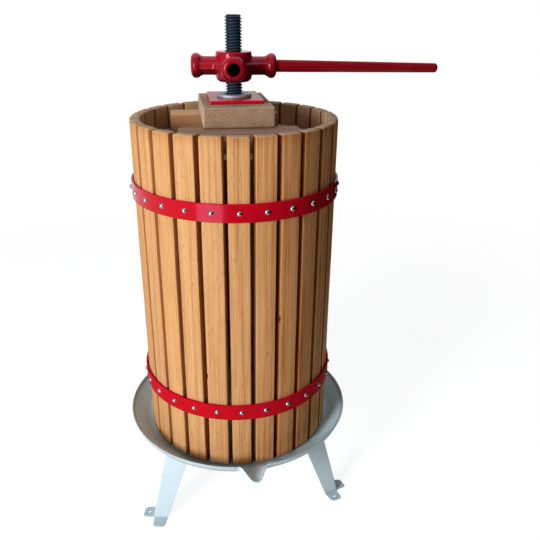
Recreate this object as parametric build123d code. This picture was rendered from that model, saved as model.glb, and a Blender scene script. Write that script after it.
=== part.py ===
from build123d import *
import math
import os

# Driving dimensions in millimetres. Origin: spindle axis on the floor, +Z up, spout towards -Y.

# Basket
STAVE_COUNT = 26
STAVE_WIDTH = 30.0
STAVE_THICKNESS = 15.0
STAVE_LENGTH = 516.0
STAVE_FACE_RADIUS = 150.8
STAVE_ARRIS = 1.2
STAVE_END_CHAMFER = 0.6
STAVE_SEAT_GAP = 0.05
HOOP_INNER_RADIUS = 152.0
HOOP_THICKNESS = 3.0
HOOP_HEIGHT = 25.6
HOOP_CHAMFER = 0.5
HOOP_LOW_Z = 241.7
HOOP_HIGH_Z = 557.1
RIVET_HEAD_RADIUS = 3.9
RIVET_HEAD_HEIGHT = 2.8
RIVET_SHANK_RADIUS = 2.0
RIVET_LENGTH = 13.0
RIVET_CLEARANCE = 0.05
RIVET_HOLE_END = 0.3

# Juice tray
FLOOR_Z = 140.0
TRAY_SHEET = 2.0
TRAY_FLOOR_RADIUS = 158.5
TRAY_BEND = 9.0
TRAY_WALL_SLANT = 1.26
TRAY_CORNER_STEP = 1.0
TRAY_WALL_TOP_RADIUS = 181.8
TRAY_WALL_TOP_Z = 160.4
RIM_BEAD_RADIUS = 3.6
RIM_BEAD_RING = 182.2
SPOUT_TURN = -1.6
SPOUT_REACH = 209.0
SPOUT_ROOT = 145.0
SPOUT_ROOT_LIFT = 0.2
SPOUT_TIP_LIFT = 13.0
SPOUT_TIP_BRIM_LIFT = 19.5
SPOUT_ROOT_HALF = 8.0
SPOUT_TIP_HALF = 2.6
SPOUT_FLANK = 0.42
SPOUT_WALL = 2.2
SPOUT_OVERRUN = 8.0

# Legs: folded angle section, ridge outwards, splayed
LEG_SHEET = 2.5
LEG_RIDGE_FOOT_RADIUS = 189.2
LEG_RIDGE_TOP_RADIUS = 151.1
LEG_FACE_FOOT = 24.0
LEG_FACE_TOP = 43.0
LEG_TOE_LENGTH = 17.6
LEG_TOE_INSET = 3.0
LEG_TOE_LAP = 2.4
LEG_TOE_SHOULDER = 14.6
LEG_TOE_TIP_START = 4.6
LEG_TOE_TIP_END = 18.6
LEG_TOE_HEEL = 12.6
LEG_TOE_MARGIN = 0.5
LEG_RIDGE_BEND = 2.2
FOOT_HOLE_RADIUS = 2.8
FOOT_HOLE_ALONG = 13.2
FOOT_HOLE_OUT = 9.2
LEG_ANGLES = {"leg_front_left": -150.0, "leg_front_right": -30.0, "leg_rear": 90.0}

# Leg bolts
BOLT_RADIUS = 3.0
BOLT_HOLE_RADIUS = 3.05
BOLT_BEHIND_RIDGE = 29.1
BOLT_HALF_SPACING = 12.0
BOLT_BASKET_CLEARANCE = 4.0
BOLT_HEAD_RADIUS = 5.25
BOLT_HEAD_HEIGHT = 3.3
BOLT_HEAD_ROUND = 2.2
BOLT_TAIL_DROP = 13.5
BOLT_NUT_ACROSS = 10.0
BOLT_NUT_HEIGHT = 5.0

# Spindle and its anchorage under the tray
SPINDLE_CREST = 12.0
SPINDLE_ROOT = 9.8
SPINDLE_SHANK = 11.9
SPINDLE_FOOT_Z = 102.0
SPINDLE_TOP_Z = 792.5
THREAD_START_Z = 474.0
THREAD_PITCH = 4.0
THREAD_FLANK = 0.8
THREAD_LAND = 1.2
THREAD_RUNOUT = 3.0
THREAD_TOP_PLAIN = 2.5
SPINDLE_FOOT_CHAMFER = 1.5
SPINDLE_TOP_CHAMFER = 0.8
ANCHOR_BORE = 11.95
ANCHOR_PLATE_RADIUS = 60.0
ANCHOR_PLATE_THICKNESS = 5.0
ANCHOR_NUT_ACROSS = 36.0
ANCHOR_NUT_HEIGHT = 19.0
ANCHOR_WASHER_RADIUS = 22.0
ANCHOR_WASHER_THICKNESS = 3.5
TOP_LOCK_NUT_HEIGHT = 12.0

# Pressing stack, turned a little on the spindle
STACK_TURN = -3.1
SPINDLE_HOLE = 12.9
BOARD_RADIUS = 131.0
BOARD_THICKNESS = 20.0
BOARD_SPLIT = 2.0
BOARD_ROUND = 2.0
BAR_LENGTH = 166.0
BAR_WIDTH = 40.0
BAR_HEIGHT = 28.0
BAR_FRONT_Y = -76.0
BAR_REAR_Y = 70.0
BAR_REAR_SHIFT = -10.0
BAR_TOP_Z = 651.0
BAR_ROUND = 3.0
BLOCK_WIDTH = 98.5
BLOCK_LENGTH = 140.0
BLOCK_HEIGHT = 28.0
BLOCK_CENTRE_Y = -3.0
BLOCK_CORNER = 3.0
BLOCK_TOP_ROUND = 2.8
PLATE_WIDTH = 74.5
PLATE_LENGTH = 94.0
PLATE_THICKNESS = 5.0
PLATE_BORE = 12.1
PLATE_CORNER = 1.5
PLATE_CHAMFER = 0.5
WASHER_RADIUS = 24.8
WASHER_THICKNESS = 3.5
WASHER_BORE = 12.8
WASHER_CHAMFER = 0.4

# Press nut and lever
NUT_TURN = -8.6
NUT_BOTTOM_Z = 704.4
NUT_TOP_Z = 745.0
NUT_HUB_RADIUS = 25.2
NUT_BORE = 12.1
HUB_CHAMFER = 3.5
HUB_ROUND = 2.0
ARM_AXIS_Z = 725.5
ARM_RADIUS = 12.7
ARM_END = 60.0
COLLAR_RADIUS = 16.8
COLLAR_START = 49.0
FLARE_START = 44.5
COLLAR_NOSE_ROUND = 5.0
COLLAR_BACK_ROUND = 2.5
SOCKET_RADIUS = 8.7
SOCKET_FLOOR = 20.0
WEB_THICKNESS = 9.0
WEB_ROOT_HALF = 21.0
WEB_TIP_HALF = 14.2
WEB_DISC_RADIUS = 33.0
LEVER_ROOT_RADIUS = 8.3
LEVER_TIP_RADIUS = 6.4
LEVER_START = 20.4
LEVER_END = 293.0
LEVER_PLAIN = 20.0
LEVER_ROOT_CHAMFER = 1.0
LEVER_NOSE = 4.0
LEVER_NOSE_TIP = 1.3
LEVER_NOSE_DROP = 1.6
LEVER_NOSE_FLAT = 2.0


def turned(shape, angle):
    """Turn a shape about the spindle axis."""
    return Rot(0, 0, angle) * shape


def ring(outer, inner, low, high):
    """Plain ring about the spindle axis between two heights."""
    body = Cylinder(outer, high - low) - Cylinder(inner, high - low)
    return Pos(0, 0, (low + high) / 2) * body


def radial_rod(radius, start, end, height):
    """Round rod lying along +X between two distances from the axis."""
    return Pos((start + end) / 2, 0, height) * Rot(0, 90, 0) * Cylinder(radius, end - start)


def prism(points, low, high):
    """Upright prism on a closed outline given in plan."""
    outline = make_face(Polyline(*points, close=True))
    return extrude(Pos(0, 0, low) * outline, amount=high - low, dir=(0, 0, 1))


def hex_nut(across, bore, low, high):
    """Hexagon nut about the spindle axis, corners rounded off by a turned chamfer."""
    body = extrude(RegularPolygon(across / 2, 6, major_radius=False), amount=high - low)
    body = Pos(0, 0, low) * body
    crown = Pos(0, 0, (low + high) / 2) * Cylinder(across / 2 * 1.13, high - low)
    crown = chamfer(crown.edges().filter_by(GeomType.CIRCLE), across * 0.05)
    hole = Pos(0, 0, (low + high) / 2) * Cylinder(bore, high - low + 2)
    return (body & crown) - hole


def save(node, shape):
    """Write one node of the assembly."""
    export_step(shape, f"parts/{node}.step")


os.makedirs("parts", exist_ok=True)


# Basket staves: square-edged boards with eased arrises, two blind rivet holes each
rivet_tip = HOOP_INNER_RADIUS + HOOP_THICKNESS - RIVET_LENGTH
rivet_hole = RIVET_SHANK_RADIUS + RIVET_CLEARANCE
stave_low = FLOOR_Z + STAVE_SEAT_GAP
stave = Box(STAVE_THICKNESS, STAVE_WIDTH, STAVE_LENGTH)
stave = fillet(stave.edges().filter_by(Axis.Z), STAVE_ARRIS)
stave_ends = stave.edges().group_by(Axis.Z)[-1] + stave.edges().group_by(Axis.Z)[0]
stave = chamfer(stave_ends, STAVE_END_CHAMFER)
stave = Pos(STAVE_FACE_RADIUS - STAVE_THICKNESS / 2, 0, stave_low + STAVE_LENGTH / 2) * stave
for height in (HOOP_LOW_Z, HOOP_HIGH_Z):
    stave -= radial_rod(rivet_hole, rivet_tip - RIVET_HOLE_END, STAVE_FACE_RADIUS + STAVE_THICKNESS, height)
stave_angles = [-90.0 + (k + 0.5) * 360.0 / STAVE_COUNT for k in range(STAVE_COUNT)]
for number, angle in enumerate(stave_angles, start=1):
    save(f"stave_{number:02d}", turned(stave, angle))

# Round-headed rivet, drawn lying along +X with its head seated on the hoop
seat = HOOP_INNER_RADIUS + HOOP_THICKNESS
cap_radius = (RIVET_HEAD_RADIUS**2 + RIVET_HEAD_HEIGHT**2) / (2 * RIVET_HEAD_HEIGHT)
cap_box = 4 * cap_radius
cap = Sphere(cap_radius) & Pos(0, 0, cap_radius) * Box(cap_box, cap_box, 2 * RIVET_HEAD_HEIGHT)
cap = Pos(seat - cap_radius + RIVET_HEAD_HEIGHT, 0, 0) * Rot(0, 90, 0) * cap
rivet = cap + radial_rod(RIVET_SHANK_RADIUS, rivet_tip, seat + RIVET_HEAD_HEIGHT / 4, 0)

# Hoops with one rivet through every stave
for node, height in (("lower", HOOP_LOW_Z), ("upper", HOOP_HIGH_Z)):
    band = ring(seat, HOOP_INNER_RADIUS, height - HOOP_HEIGHT / 2, height + HOOP_HEIGHT / 2)
    band = chamfer(band.edges().filter_by(GeomType.CIRCLE), HOOP_CHAMFER)
    drill = radial_rod(rivet_hole, rivet_tip, seat + RIVET_LENGTH, height)
    drills = [turned(drill, a) for a in stave_angles]
    save(f"hoop_{node}", band - drills)
    rivets = [turned(Pos(0, 0, height) * rivet, a) for a in stave_angles]
    save(f"hoop_rivets_{node}", Compound(children=rivets))

# Leg bolt places: a pair behind the ridge of each leg, always clear of the basket's inside
basket_inside = STAVE_FACE_RADIUS - STAVE_THICKNESS
ring_behind_ridge = LEG_RIDGE_TOP_RADIUS - BOLT_BEHIND_RIDGE
ring_in_basket = basket_inside - BOLT_HEAD_RADIUS - BOLT_BASKET_CLEARANCE
bolt_ring = min(ring_behind_ridge, ring_in_basket)
bolt_places = []
for angle in LEG_ANGLES.values():
    for side in (-1, 1):
        bolt_places.append(Rot(0, 0, angle) * Pos(bolt_ring, side * BOLT_HALF_SPACING, 0))


def upright_rods(radius, low, high):
    """One upright rod at every leg bolt place."""
    rod = Pos(0, 0, (low + high) / 2) * Cylinder(radius, high - low)
    return [place * rod for place in bolt_places]


# Juice tray: dished sheet with a rolled rim and a pouring spout
under_z = FLOOR_Z - TRAY_SHEET
wall_in = TRAY_WALL_SLANT * TRAY_SHEET
floor_corner = TRAY_FLOOR_RADIUS - TRAY_CORNER_STEP
section_points = [
    (ANCHOR_BORE, under_z),
    (TRAY_FLOOR_RADIUS, under_z),
    (TRAY_WALL_TOP_RADIUS, TRAY_WALL_TOP_Z),
    (TRAY_WALL_TOP_RADIUS - wall_in, TRAY_WALL_TOP_Z),
    (floor_corner, FLOOR_Z),
    (ANCHOR_BORE, FLOOR_Z),
]
section = make_face(Polyline(*section_points, close=True))
bends = section.vertices().filter_by(lambda v: abs(v.X - TRAY_FLOOR_RADIUS) < TRAY_SHEET)
section = fillet(bends, TRAY_BEND)
dish = revolve(Plane.XZ * section, axis=Axis.Z)
bead = Pos(0, 0, TRAY_WALL_TOP_Z) * Torus(RIM_BEAD_RING, RIM_BEAD_RADIUS)

brim_top = TRAY_WALL_TOP_Z + RIM_BEAD_RADIUS
spout_high = brim_top + SPOUT_OVERRUN
spout_far = SPOUT_REACH + SPOUT_OVERRUN

# Room inside the dish, kept clear of the spout's outer skin
room_points = [
    (0, FLOOR_Z),
    (floor_corner, FLOOR_Z),
    (TRAY_WALL_TOP_RADIUS - wall_in, TRAY_WALL_TOP_Z),
    (TRAY_WALL_TOP_RADIUS - wall_in, spout_high),
    (0, spout_high),
]
room = revolve(Plane.XZ * make_face(Polyline(*room_points, close=True)), axis=Axis.Z)


def spout_section(reach, low, foot):
    """Cross-section of the spout at one distance in front of the axis."""
    brim = foot + SPOUT_FLANK * (spout_high - low)
    points = [(-brim, spout_high), (-foot, low), (foot, low), (brim, spout_high)]
    outline = make_face(Polyline(*points, close=True))
    outline = fillet(outline.vertices().group_by(Axis.Y)[0], 0.6 * foot)
    return Plane(origin=(0, -reach, 0), x_dir=(1, 0, 0), z_dir=(0, -1, 0)) * outline


def spout_body(grow, drop):
    """The spout's channel, or its skin when grown sideways and dropped by the wall."""
    root = spout_section(SPOUT_ROOT, FLOOR_Z + SPOUT_ROOT_LIFT - drop, SPOUT_ROOT_HALF + grow)
    tip = spout_section(spout_far, FLOOR_Z + SPOUT_TIP_LIFT - drop, SPOUT_TIP_HALF + grow)
    return loft([root, tip])


# The skin stops at the spout's mouth and under a brim that slopes down from the rim
brim_points = [
    (-SPOUT_ROOT, under_z),
    (-SPOUT_ROOT, brim_top),
    (-RIM_BEAD_RING, brim_top),
    (-SPOUT_REACH, FLOOR_Z + SPOUT_TIP_BRIM_LIFT),
    (-SPOUT_REACH, under_z),
]
under_brim = extrude(Plane.YZ * make_face(Polyline(*brim_points, close=True)), SPOUT_REACH, both=True)
spout_skin = spout_body(SPOUT_WALL, TRAY_SHEET) & under_brim
tray = dish + bead + turned(spout_skin - room, SPOUT_TURN)
tray -= turned(spout_body(0.0, 0.0), SPOUT_TURN)
tray -= Pos(0, 0, FLOOR_Z) * Cylinder(ANCHOR_BORE, 8 * TRAY_SHEET)
tray -= upright_rods(BOLT_HOLE_RADIUS, FLOOR_Z - 4 * TRAY_SHEET, FLOOR_Z + 4 * TRAY_SHEET)
save("juice_tray", tray)

# One leg drawn with its ridge towards +X
lean = (LEG_RIDGE_FOOT_RADIUS - LEG_RIDGE_TOP_RADIUS) / under_z
low_z = -4 * LEG_SHEET
high_z = under_z + 4 * LEG_SHEET
half = math.sqrt(0.5)


def ridge(height):
    """Distance of the ridge from the axis at one height."""
    return LEG_RIDGE_FOOT_RADIUS - lean * height


def face_width(height):
    """Width of one leg face at one height."""
    return LEG_FACE_FOOT + (LEG_FACE_TOP - LEG_FACE_FOOT) * height / under_z


corners = []
for height in (low_z, high_z):
    reach = face_width(height) * half
    corners.append(((ridge(height), 0, height), (ridge(height) - reach, reach, height)))
(foot_ridge, foot_free), (head_ridge, head_free) = corners
leg_face = make_face(Polyline(foot_ridge, foot_free, head_free, head_ridge, close=True))
inward = Vector(-half, -half, -lean * half).normalized() * LEG_SHEET
face_right = extrude(leg_face, amount=LEG_SHEET, dir=inward)
face_left = mirror(face_right, about=Plane.XZ)
angle_section = face_right + face_left
ridge_edges = angle_section.edges().filter_by(lambda e: abs(e.center().Y) < 0.01 and e.length > under_z / 2)
outer_ridge = ridge_edges.sort_by(Axis.X)[-1]
angle_section = fillet(outer_ridge, LEG_RIDGE_BEND)
leg_room = 3 * LEG_RIDGE_FOOT_RADIUS
angle_section &= Pos(0, 0, under_z / 2) * Box(leg_room, leg_room, under_z)


def toe_outline(side):
    """Plan of one foot tab; side +1 is the right-hand face seen from outside."""
    points = []
    for along, out in (
        (LEG_TOE_INSET, -LEG_TOE_LAP),
        (LEG_TOE_INSET, LEG_TOE_SHOULDER),
        (LEG_TOE_TIP_START, LEG_TOE_LENGTH),
        (LEG_TOE_TIP_END, LEG_TOE_LENGTH),
        (LEG_FACE_FOOT - 2 * LEG_TOE_MARGIN, LEG_TOE_HEEL),
        (LEG_FACE_FOOT - LEG_TOE_MARGIN, -LEG_TOE_LAP),
    ):
        x = LEG_RIDGE_FOOT_RADIUS - along * half + out * half
        points.append((x, side * (along * half + out * half)))
    return points


toe_right = prism(toe_outline(1), 0, LEG_SHEET)
toe_left = prism(toe_outline(-1), 0, LEG_SHEET)
hole_x = LEG_RIDGE_FOOT_RADIUS - FOOT_HOLE_ALONG * half + FOOT_HOLE_OUT * half
hole_y = -(FOOT_HOLE_ALONG + FOOT_HOLE_OUT) * half
foot_hole = Pos(hole_x, hole_y, 0) * Cylinder(FOOT_HOLE_RADIUS, 8 * LEG_SHEET)
head_reach = LEG_FACE_TOP * half
flange_points = [
    (LEG_RIDGE_TOP_RADIUS, 0),
    (LEG_RIDGE_TOP_RADIUS - head_reach, head_reach),
    (LEG_RIDGE_TOP_RADIUS - 1.7 * head_reach, 0.3 * head_reach),
    (LEG_RIDGE_TOP_RADIUS - 1.7 * head_reach, -0.3 * head_reach),
    (LEG_RIDGE_TOP_RADIUS - head_reach, -head_reach),
]
flange = prism(flange_points, under_z - LEG_SHEET, under_z)
leg = angle_section + toe_right + toe_left + flange - foot_hole
for side in (-1, 1):
    leg -= Pos(bolt_ring, side * BOLT_HALF_SPACING, under_z) * Cylinder(BOLT_HOLE_RADIUS, 8 * LEG_SHEET)
for node, angle in LEG_ANGLES.items():
    save(node, turned(leg, angle))

# Leg bolts with button heads on the tray floor and nuts below the leg flanges
shank_length = BOLT_TAIL_DROP + BOLT_HEAD_HEIGHT / 3
bolt = Pos(0, 0, FLOOR_Z - BOLT_TAIL_DROP + shank_length / 2) * Cylinder(BOLT_RADIUS, shank_length)
head = Pos(0, 0, FLOOR_Z + BOLT_HEAD_HEIGHT / 2) * Cylinder(BOLT_HEAD_RADIUS, BOLT_HEAD_HEIGHT)
head = fillet(head.edges().group_by(Axis.Z)[-1], BOLT_HEAD_ROUND)
bolt += head
save("leg_bolts", Compound(children=[place * bolt for place in bolt_places]))
nut_top = under_z - LEG_SHEET
small_nut = hex_nut(BOLT_NUT_ACROSS, BOLT_HOLE_RADIUS, nut_top - BOLT_NUT_HEIGHT, nut_top)
save("leg_nuts", Compound(children=[place * small_nut for place in bolt_places]))

# Spindle: plain shank with a ridged thread zone at the top, drawn as one turned section
outline = [(0, SPINDLE_FOOT_Z), (SPINDLE_SHANK - SPINDLE_FOOT_CHAMFER, SPINDLE_FOOT_Z)]
outline.append((SPINDLE_SHANK, SPINDLE_FOOT_Z + SPINDLE_FOOT_CHAMFER))
outline.append((SPINDLE_SHANK, THREAD_START_Z - THREAD_RUNOUT))
outline.append((SPINDLE_ROOT, THREAD_START_Z - 0.3 * THREAD_RUNOUT))
ridge_count = int((SPINDLE_TOP_Z - THREAD_TOP_PLAIN - THREAD_START_Z) / THREAD_PITCH)
for turn in range(ridge_count):
    base = THREAD_START_Z + turn * THREAD_PITCH
    outline.append((SPINDLE_ROOT, base))
    outline.append((SPINDLE_CREST, base + THREAD_FLANK))
    outline.append((SPINDLE_CREST, base + THREAD_FLANK + THREAD_LAND))
    outline.append((SPINDLE_ROOT, base + 2 * THREAD_FLANK + THREAD_LAND))
outline.append((SPINDLE_ROOT, SPINDLE_TOP_Z - SPINDLE_TOP_CHAMFER))
outline.append((SPINDLE_ROOT - SPINDLE_TOP_CHAMFER, SPINDLE_TOP_Z))
outline.append((0, SPINDLE_TOP_Z))
spindle_face = make_face(Polyline(*outline, close=True))
save("spindle", revolve(Plane.XZ * spindle_face, axis=Axis.Z))

# Anchorage of the spindle: backing plate, washer and nut below, thin lock nut above the tray
plate_low = under_z - ANCHOR_PLATE_THICKNESS
washer_low = plate_low - ANCHOR_WASHER_THICKNESS
backing = ring(ANCHOR_PLATE_RADIUS, ANCHOR_BORE, plate_low, under_z)
save("spindle_backing_plate", backing)
save("spindle_washer", ring(ANCHOR_WASHER_RADIUS, ANCHOR_BORE, washer_low, plate_low))
low_nut = hex_nut(ANCHOR_NUT_ACROSS, ANCHOR_BORE, washer_low - ANCHOR_NUT_HEIGHT, washer_low)
save("spindle_nut_lower", low_nut)
top_nut = hex_nut(ANCHOR_NUT_ACROSS, ANCHOR_BORE, FLOOR_Z, FLOOR_Z + TOP_LOCK_NUT_HEIGHT)
save("spindle_nut_upper", top_nut)

# Pressing stack: two half-round boards, two cross bars, the top block, plate and washer
spindle_way = Pos(0, 0, SPINDLE_TOP_Z / 2) * Cylinder(SPINDLE_HOLE, 2 * SPINDLE_TOP_Z)
board_top = BAR_TOP_Z - BAR_HEIGHT
disc = Pos(0, 0, board_top - BOARD_THICKNESS / 2) * Cylinder(BOARD_RADIUS, BOARD_THICKNESS)
disc = fillet(disc.edges().filter_by(GeomType.CIRCLE), BOARD_ROUND) - spindle_way
for node, side in (("press_board_left", -1), ("press_board_right", 1)):
    keep_size = 2 * BOARD_RADIUS
    keep = Pos(side * (BOARD_SPLIT + keep_size) / 2, 0, board_top)
    keep *= Box(keep_size, 2 * keep_size, 4 * BOARD_THICKNESS)
    save(node, turned(disc & keep, STACK_TURN))

bar = Box(BAR_LENGTH, BAR_WIDTH, BAR_HEIGHT)
bar = fillet(bar.edges(), BAR_ROUND)
bar_z = BAR_TOP_Z - BAR_HEIGHT / 2
bar_front = Pos(0, BAR_FRONT_Y, bar_z) * bar
bar_rear = Pos(BAR_REAR_SHIFT, BAR_REAR_Y, bar_z) * bar
save("cross_bar_front", turned(bar_front, STACK_TURN))
save("cross_bar_rear", turned(bar_rear, STACK_TURN))

block = Box(BLOCK_WIDTH, BLOCK_LENGTH, BLOCK_HEIGHT)
block = fillet(block.edges().filter_by(Axis.Z), BLOCK_CORNER)
block = fillet(block.edges().group_by(Axis.Z)[-1], BLOCK_TOP_ROUND)
block = Pos(0, BLOCK_CENTRE_Y, BAR_TOP_Z + BLOCK_HEIGHT / 2) * block - spindle_way
save("top_block", turned(block, STACK_TURN))

plate_z = BAR_TOP_Z + BLOCK_HEIGHT
plate = Box(PLATE_WIDTH, PLATE_LENGTH, PLATE_THICKNESS)
plate = fillet(plate.edges().filter_by(Axis.Z), PLATE_CORNER)
plate = chamfer(plate.edges().group_by(Axis.Z)[-1], PLATE_CHAMFER)
plate = Pos(0, 0, plate_z + PLATE_THICKNESS / 2) * plate
plate -= Pos(0, 0, plate_z) * Cylinder(PLATE_BORE, 4 * PLATE_THICKNESS)
save("pressure_plate", turned(plate, STACK_TURN))
seat_z = plate_z + PLATE_THICKNESS
washer = ring(WASHER_RADIUS, WASHER_BORE, seat_z, seat_z + WASHER_THICKNESS)
washer = chamfer(washer.edges().filter_by(GeomType.CIRCLE), WASHER_CHAMFER)
save("thrust_washer", washer)

# Press nut: hub, horizontal web and four socketed arms with flared collars
hub = Pos(0, 0, (NUT_BOTTOM_Z + NUT_TOP_Z) / 2) * Cylinder(NUT_HUB_RADIUS, NUT_TOP_Z - NUT_BOTTOM_Z)
hub = chamfer(hub.edges().group_by(Axis.Z)[0], HUB_CHAMFER)
hub = fillet(hub.edges().group_by(Axis.Z)[-1], HUB_ROUND)
arm_points = [
    (0, 0),
    (0, ARM_RADIUS),
    (FLARE_START, ARM_RADIUS),
    (COLLAR_START, COLLAR_RADIUS),
    (ARM_END, COLLAR_RADIUS),
    (ARM_END, 0),
]
arm_face = make_face(Polyline(*arm_points, close=True))
collar_corners = arm_face.vertices().group_by(Axis.Y)[-1].sort_by(Axis.X)
arm_face = fillet(collar_corners[-1], COLLAR_NOSE_ROUND)
collar_corners = arm_face.vertices().group_by(Axis.Y)[-1].sort_by(Axis.X)
arm_face = fillet(collar_corners[0], COLLAR_BACK_ROUND)
arm = Pos(0, 0, ARM_AXIS_Z) * revolve(arm_face, axis=Axis.X)
web_points = [
    (0, -WEB_ROOT_HALF),
    (COLLAR_START, -WEB_TIP_HALF),
    (COLLAR_START, WEB_TIP_HALF),
    (0, WEB_ROOT_HALF),
]
web_arm = prism(web_points, ARM_AXIS_Z - WEB_THICKNESS / 2, ARM_AXIS_Z + WEB_THICKNESS / 2)
web_disc = Pos(0, 0, ARM_AXIS_Z) * Cylinder(WEB_DISC_RADIUS, WEB_THICKNESS)
casting = hub + web_disc
for quarter in range(4):
    casting += turned(arm + web_arm, 90 * quarter)
socket = radial_rod(SOCKET_RADIUS, SOCKET_FLOOR, ARM_END + SOCKET_RADIUS, ARM_AXIS_Z)
casting -= [turned(socket, 90 * quarter) for quarter in range(4)]
casting -= Pos(0, 0, NUT_TOP_Z) * Cylinder(NUT_BORE, 4 * (NUT_TOP_Z - NUT_BOTTOM_Z))
save("press_nut", turned(casting, NUT_TURN))

# Lever: round bar, thinner at the hand end and rounded over
lever_points = [
    (LEVER_START, 0),
    (LEVER_START, LEVER_ROOT_RADIUS - LEVER_ROOT_CHAMFER),
    (LEVER_START + LEVER_ROOT_CHAMFER, LEVER_ROOT_RADIUS),
    (ARM_END + LEVER_PLAIN, LEVER_ROOT_RADIUS),
    (LEVER_END - LEVER_NOSE, LEVER_TIP_RADIUS),
    (LEVER_END - LEVER_NOSE_TIP, LEVER_TIP_RADIUS - LEVER_NOSE_DROP),
    (LEVER_END, LEVER_NOSE_FLAT),
    (LEVER_END, 0),
]
lever = revolve(make_face(Polyline(*lever_points, close=True)), axis=Axis.X)
save("lever", turned(Pos(0, 0, ARM_AXIS_Z) * lever, NUT_TURN))
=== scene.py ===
# %% [markdown]
# # A fruit press in Blender
# This lesson dresses a small basket press: beech staves riveted to two red hoops,
# a grey tray on three folded legs, and a black screw with a cast red nut and lever.
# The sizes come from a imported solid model, which is loaded first and is never moved.
# Everything is in metres, with the screw standing on the origin and the spout towards -Y.

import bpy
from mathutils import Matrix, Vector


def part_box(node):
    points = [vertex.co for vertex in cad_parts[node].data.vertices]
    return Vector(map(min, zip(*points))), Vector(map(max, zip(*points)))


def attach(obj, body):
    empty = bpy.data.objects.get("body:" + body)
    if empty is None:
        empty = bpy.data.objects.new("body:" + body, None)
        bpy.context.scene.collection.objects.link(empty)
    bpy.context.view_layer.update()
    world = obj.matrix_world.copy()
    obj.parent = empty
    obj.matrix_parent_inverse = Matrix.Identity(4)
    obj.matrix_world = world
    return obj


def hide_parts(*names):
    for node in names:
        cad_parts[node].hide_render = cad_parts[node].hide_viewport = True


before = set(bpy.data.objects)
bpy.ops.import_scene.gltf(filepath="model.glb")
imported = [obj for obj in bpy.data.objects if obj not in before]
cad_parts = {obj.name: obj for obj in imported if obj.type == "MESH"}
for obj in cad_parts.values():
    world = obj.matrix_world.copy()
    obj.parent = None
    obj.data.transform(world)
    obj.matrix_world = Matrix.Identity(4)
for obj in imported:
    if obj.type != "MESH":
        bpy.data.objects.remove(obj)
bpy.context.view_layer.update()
print("solid pieces:", len(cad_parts))

# %% [markdown]
# ## The camera
# The photograph looks down at the press from a little above its top, slightly from the left.
# A camera could be placed by eye, but circles of known size (the hoops, the tray rim) fix it:
# the place, the viewing direction and the lens below are the ones that put them where they are.

# %% Set up the camera
import math

import bpy
from mathutils import Matrix, Vector

EYE = Vector((-0.1372, -0.9071, 0.8172))
LOOK = Vector((0.18963, 0.89366, -0.40674)).normalized()
ROLL = math.radians(-0.55)
SENSOR_MM = 36.0
LENS_MM = 41.18

scene = bpy.context.scene
camera = bpy.data.objects.new("portrait_camera", bpy.data.cameras.new("portrait_camera"))
scene.collection.objects.link(camera)
scene.camera = camera
camera.data.sensor_width = SENSOR_MM
camera.data.lens = LENS_MM
level_right = LOOK.cross(Vector((0, 0, 1))).normalized()
level_down = LOOK.cross(level_right)
right = level_right * math.cos(ROLL) + level_down * math.sin(ROLL)
up = level_right * math.sin(ROLL) - level_down * math.cos(ROLL)
turn = Matrix((right, up, -LOOK)).transposed()
camera.matrix_world = Matrix.Translation(EYE) @ turn.to_4x4()
print("camera stands", round(EYE.length, 3), "m from the foot of the screw")

# %% [markdown]
# ## The white room
# The press stands on white, and white paper all round would fill its shadows with light.
# So the surroundings give little light and only look white: the Light Path node tells what the
# camera and reflections see from the light that falls on things, and a Mix node picks white
# for the one and a weak grey for the other.

# %% Make the room look white
WHITE = (1.0, 1.0, 1.0)
AMBIENT = (0.072, 0.068, 0.066)
# The Mix node keeps its two colours at sockets 6 and 7, and the mixed colour at output 2
MIX_ONE, MIX_OTHER, MIX_RESULT = 6, 7, 2


def seen_directly(tree):
    """A socket that is 1 for what the camera and reflections see, 0 for light that falls on things."""
    path = tree.nodes.new("ShaderNodeLightPath")
    seen = path.outputs["Is Camera Ray"]
    for ray in ("Is Glossy Ray", "Is Transmission Ray"):
        larger = tree.nodes.new("ShaderNodeMath")
        larger.operation = "MAXIMUM"
        tree.links.new(seen, larger.inputs[0])
        tree.links.new(path.outputs[ray], larger.inputs[1])
        seen = larger.outputs[0]
    return seen


world = bpy.data.worlds.new("white_room")
world.use_nodes = True
scene.world = world
sky = world.node_tree.nodes["Background"]
tone = world.node_tree.nodes.new("ShaderNodeMix")
tone.data_type = "RGBA"
world.node_tree.links.new(seen_directly(world.node_tree), tone.inputs["Factor"])
tone.inputs[MIX_ONE].default_value = (*AMBIENT, 1.0)
tone.inputs[MIX_OTHER].default_value = (*WHITE, 1.0)
world.node_tree.links.new(tone.outputs[MIX_RESULT], sky.inputs["Color"])
scene.view_settings.view_transform = "Standard"
print("room looks", WHITE, "and gives", AMBIENT)

# %% [markdown]
# ## The lamps
# The light comes from the left, from a lamp the size of a window, level with the top of the press.
# A high lamp would brighten the tops of the boards; in the photograph these are darker than the fronts.
# The upper hoop mirrors something pale and low on that side: a second lamp near the floor, which
# Blender can keep out of the diffuse light, so that it shows in the gloss and fills no shadow.
# A large weak lamp overhead stands for the sky.

# %% Hang the lamps
KEY_WATTS = 34.0
KEY_WIDE, KEY_TALL = 0.50, 0.90
KEY_PLACE = Vector((-1.28, -1.20, 0.91))
PANE_WATTS = 3.4
PANE_WIDE, PANE_TALL = 0.60, 0.24
PANE_PLACE = Vector((-0.746, -1.065, 0.17))
SKY_WATTS = 11.5
SKY_BLUE = (0.86, 0.94, 1.00)
SKY_SIDE = 1.8
SKY_PLACE = Vector((0.02, 0.42, 2.3))
MIDDLE = Vector((0.0, 0.0, 0.42))


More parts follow.
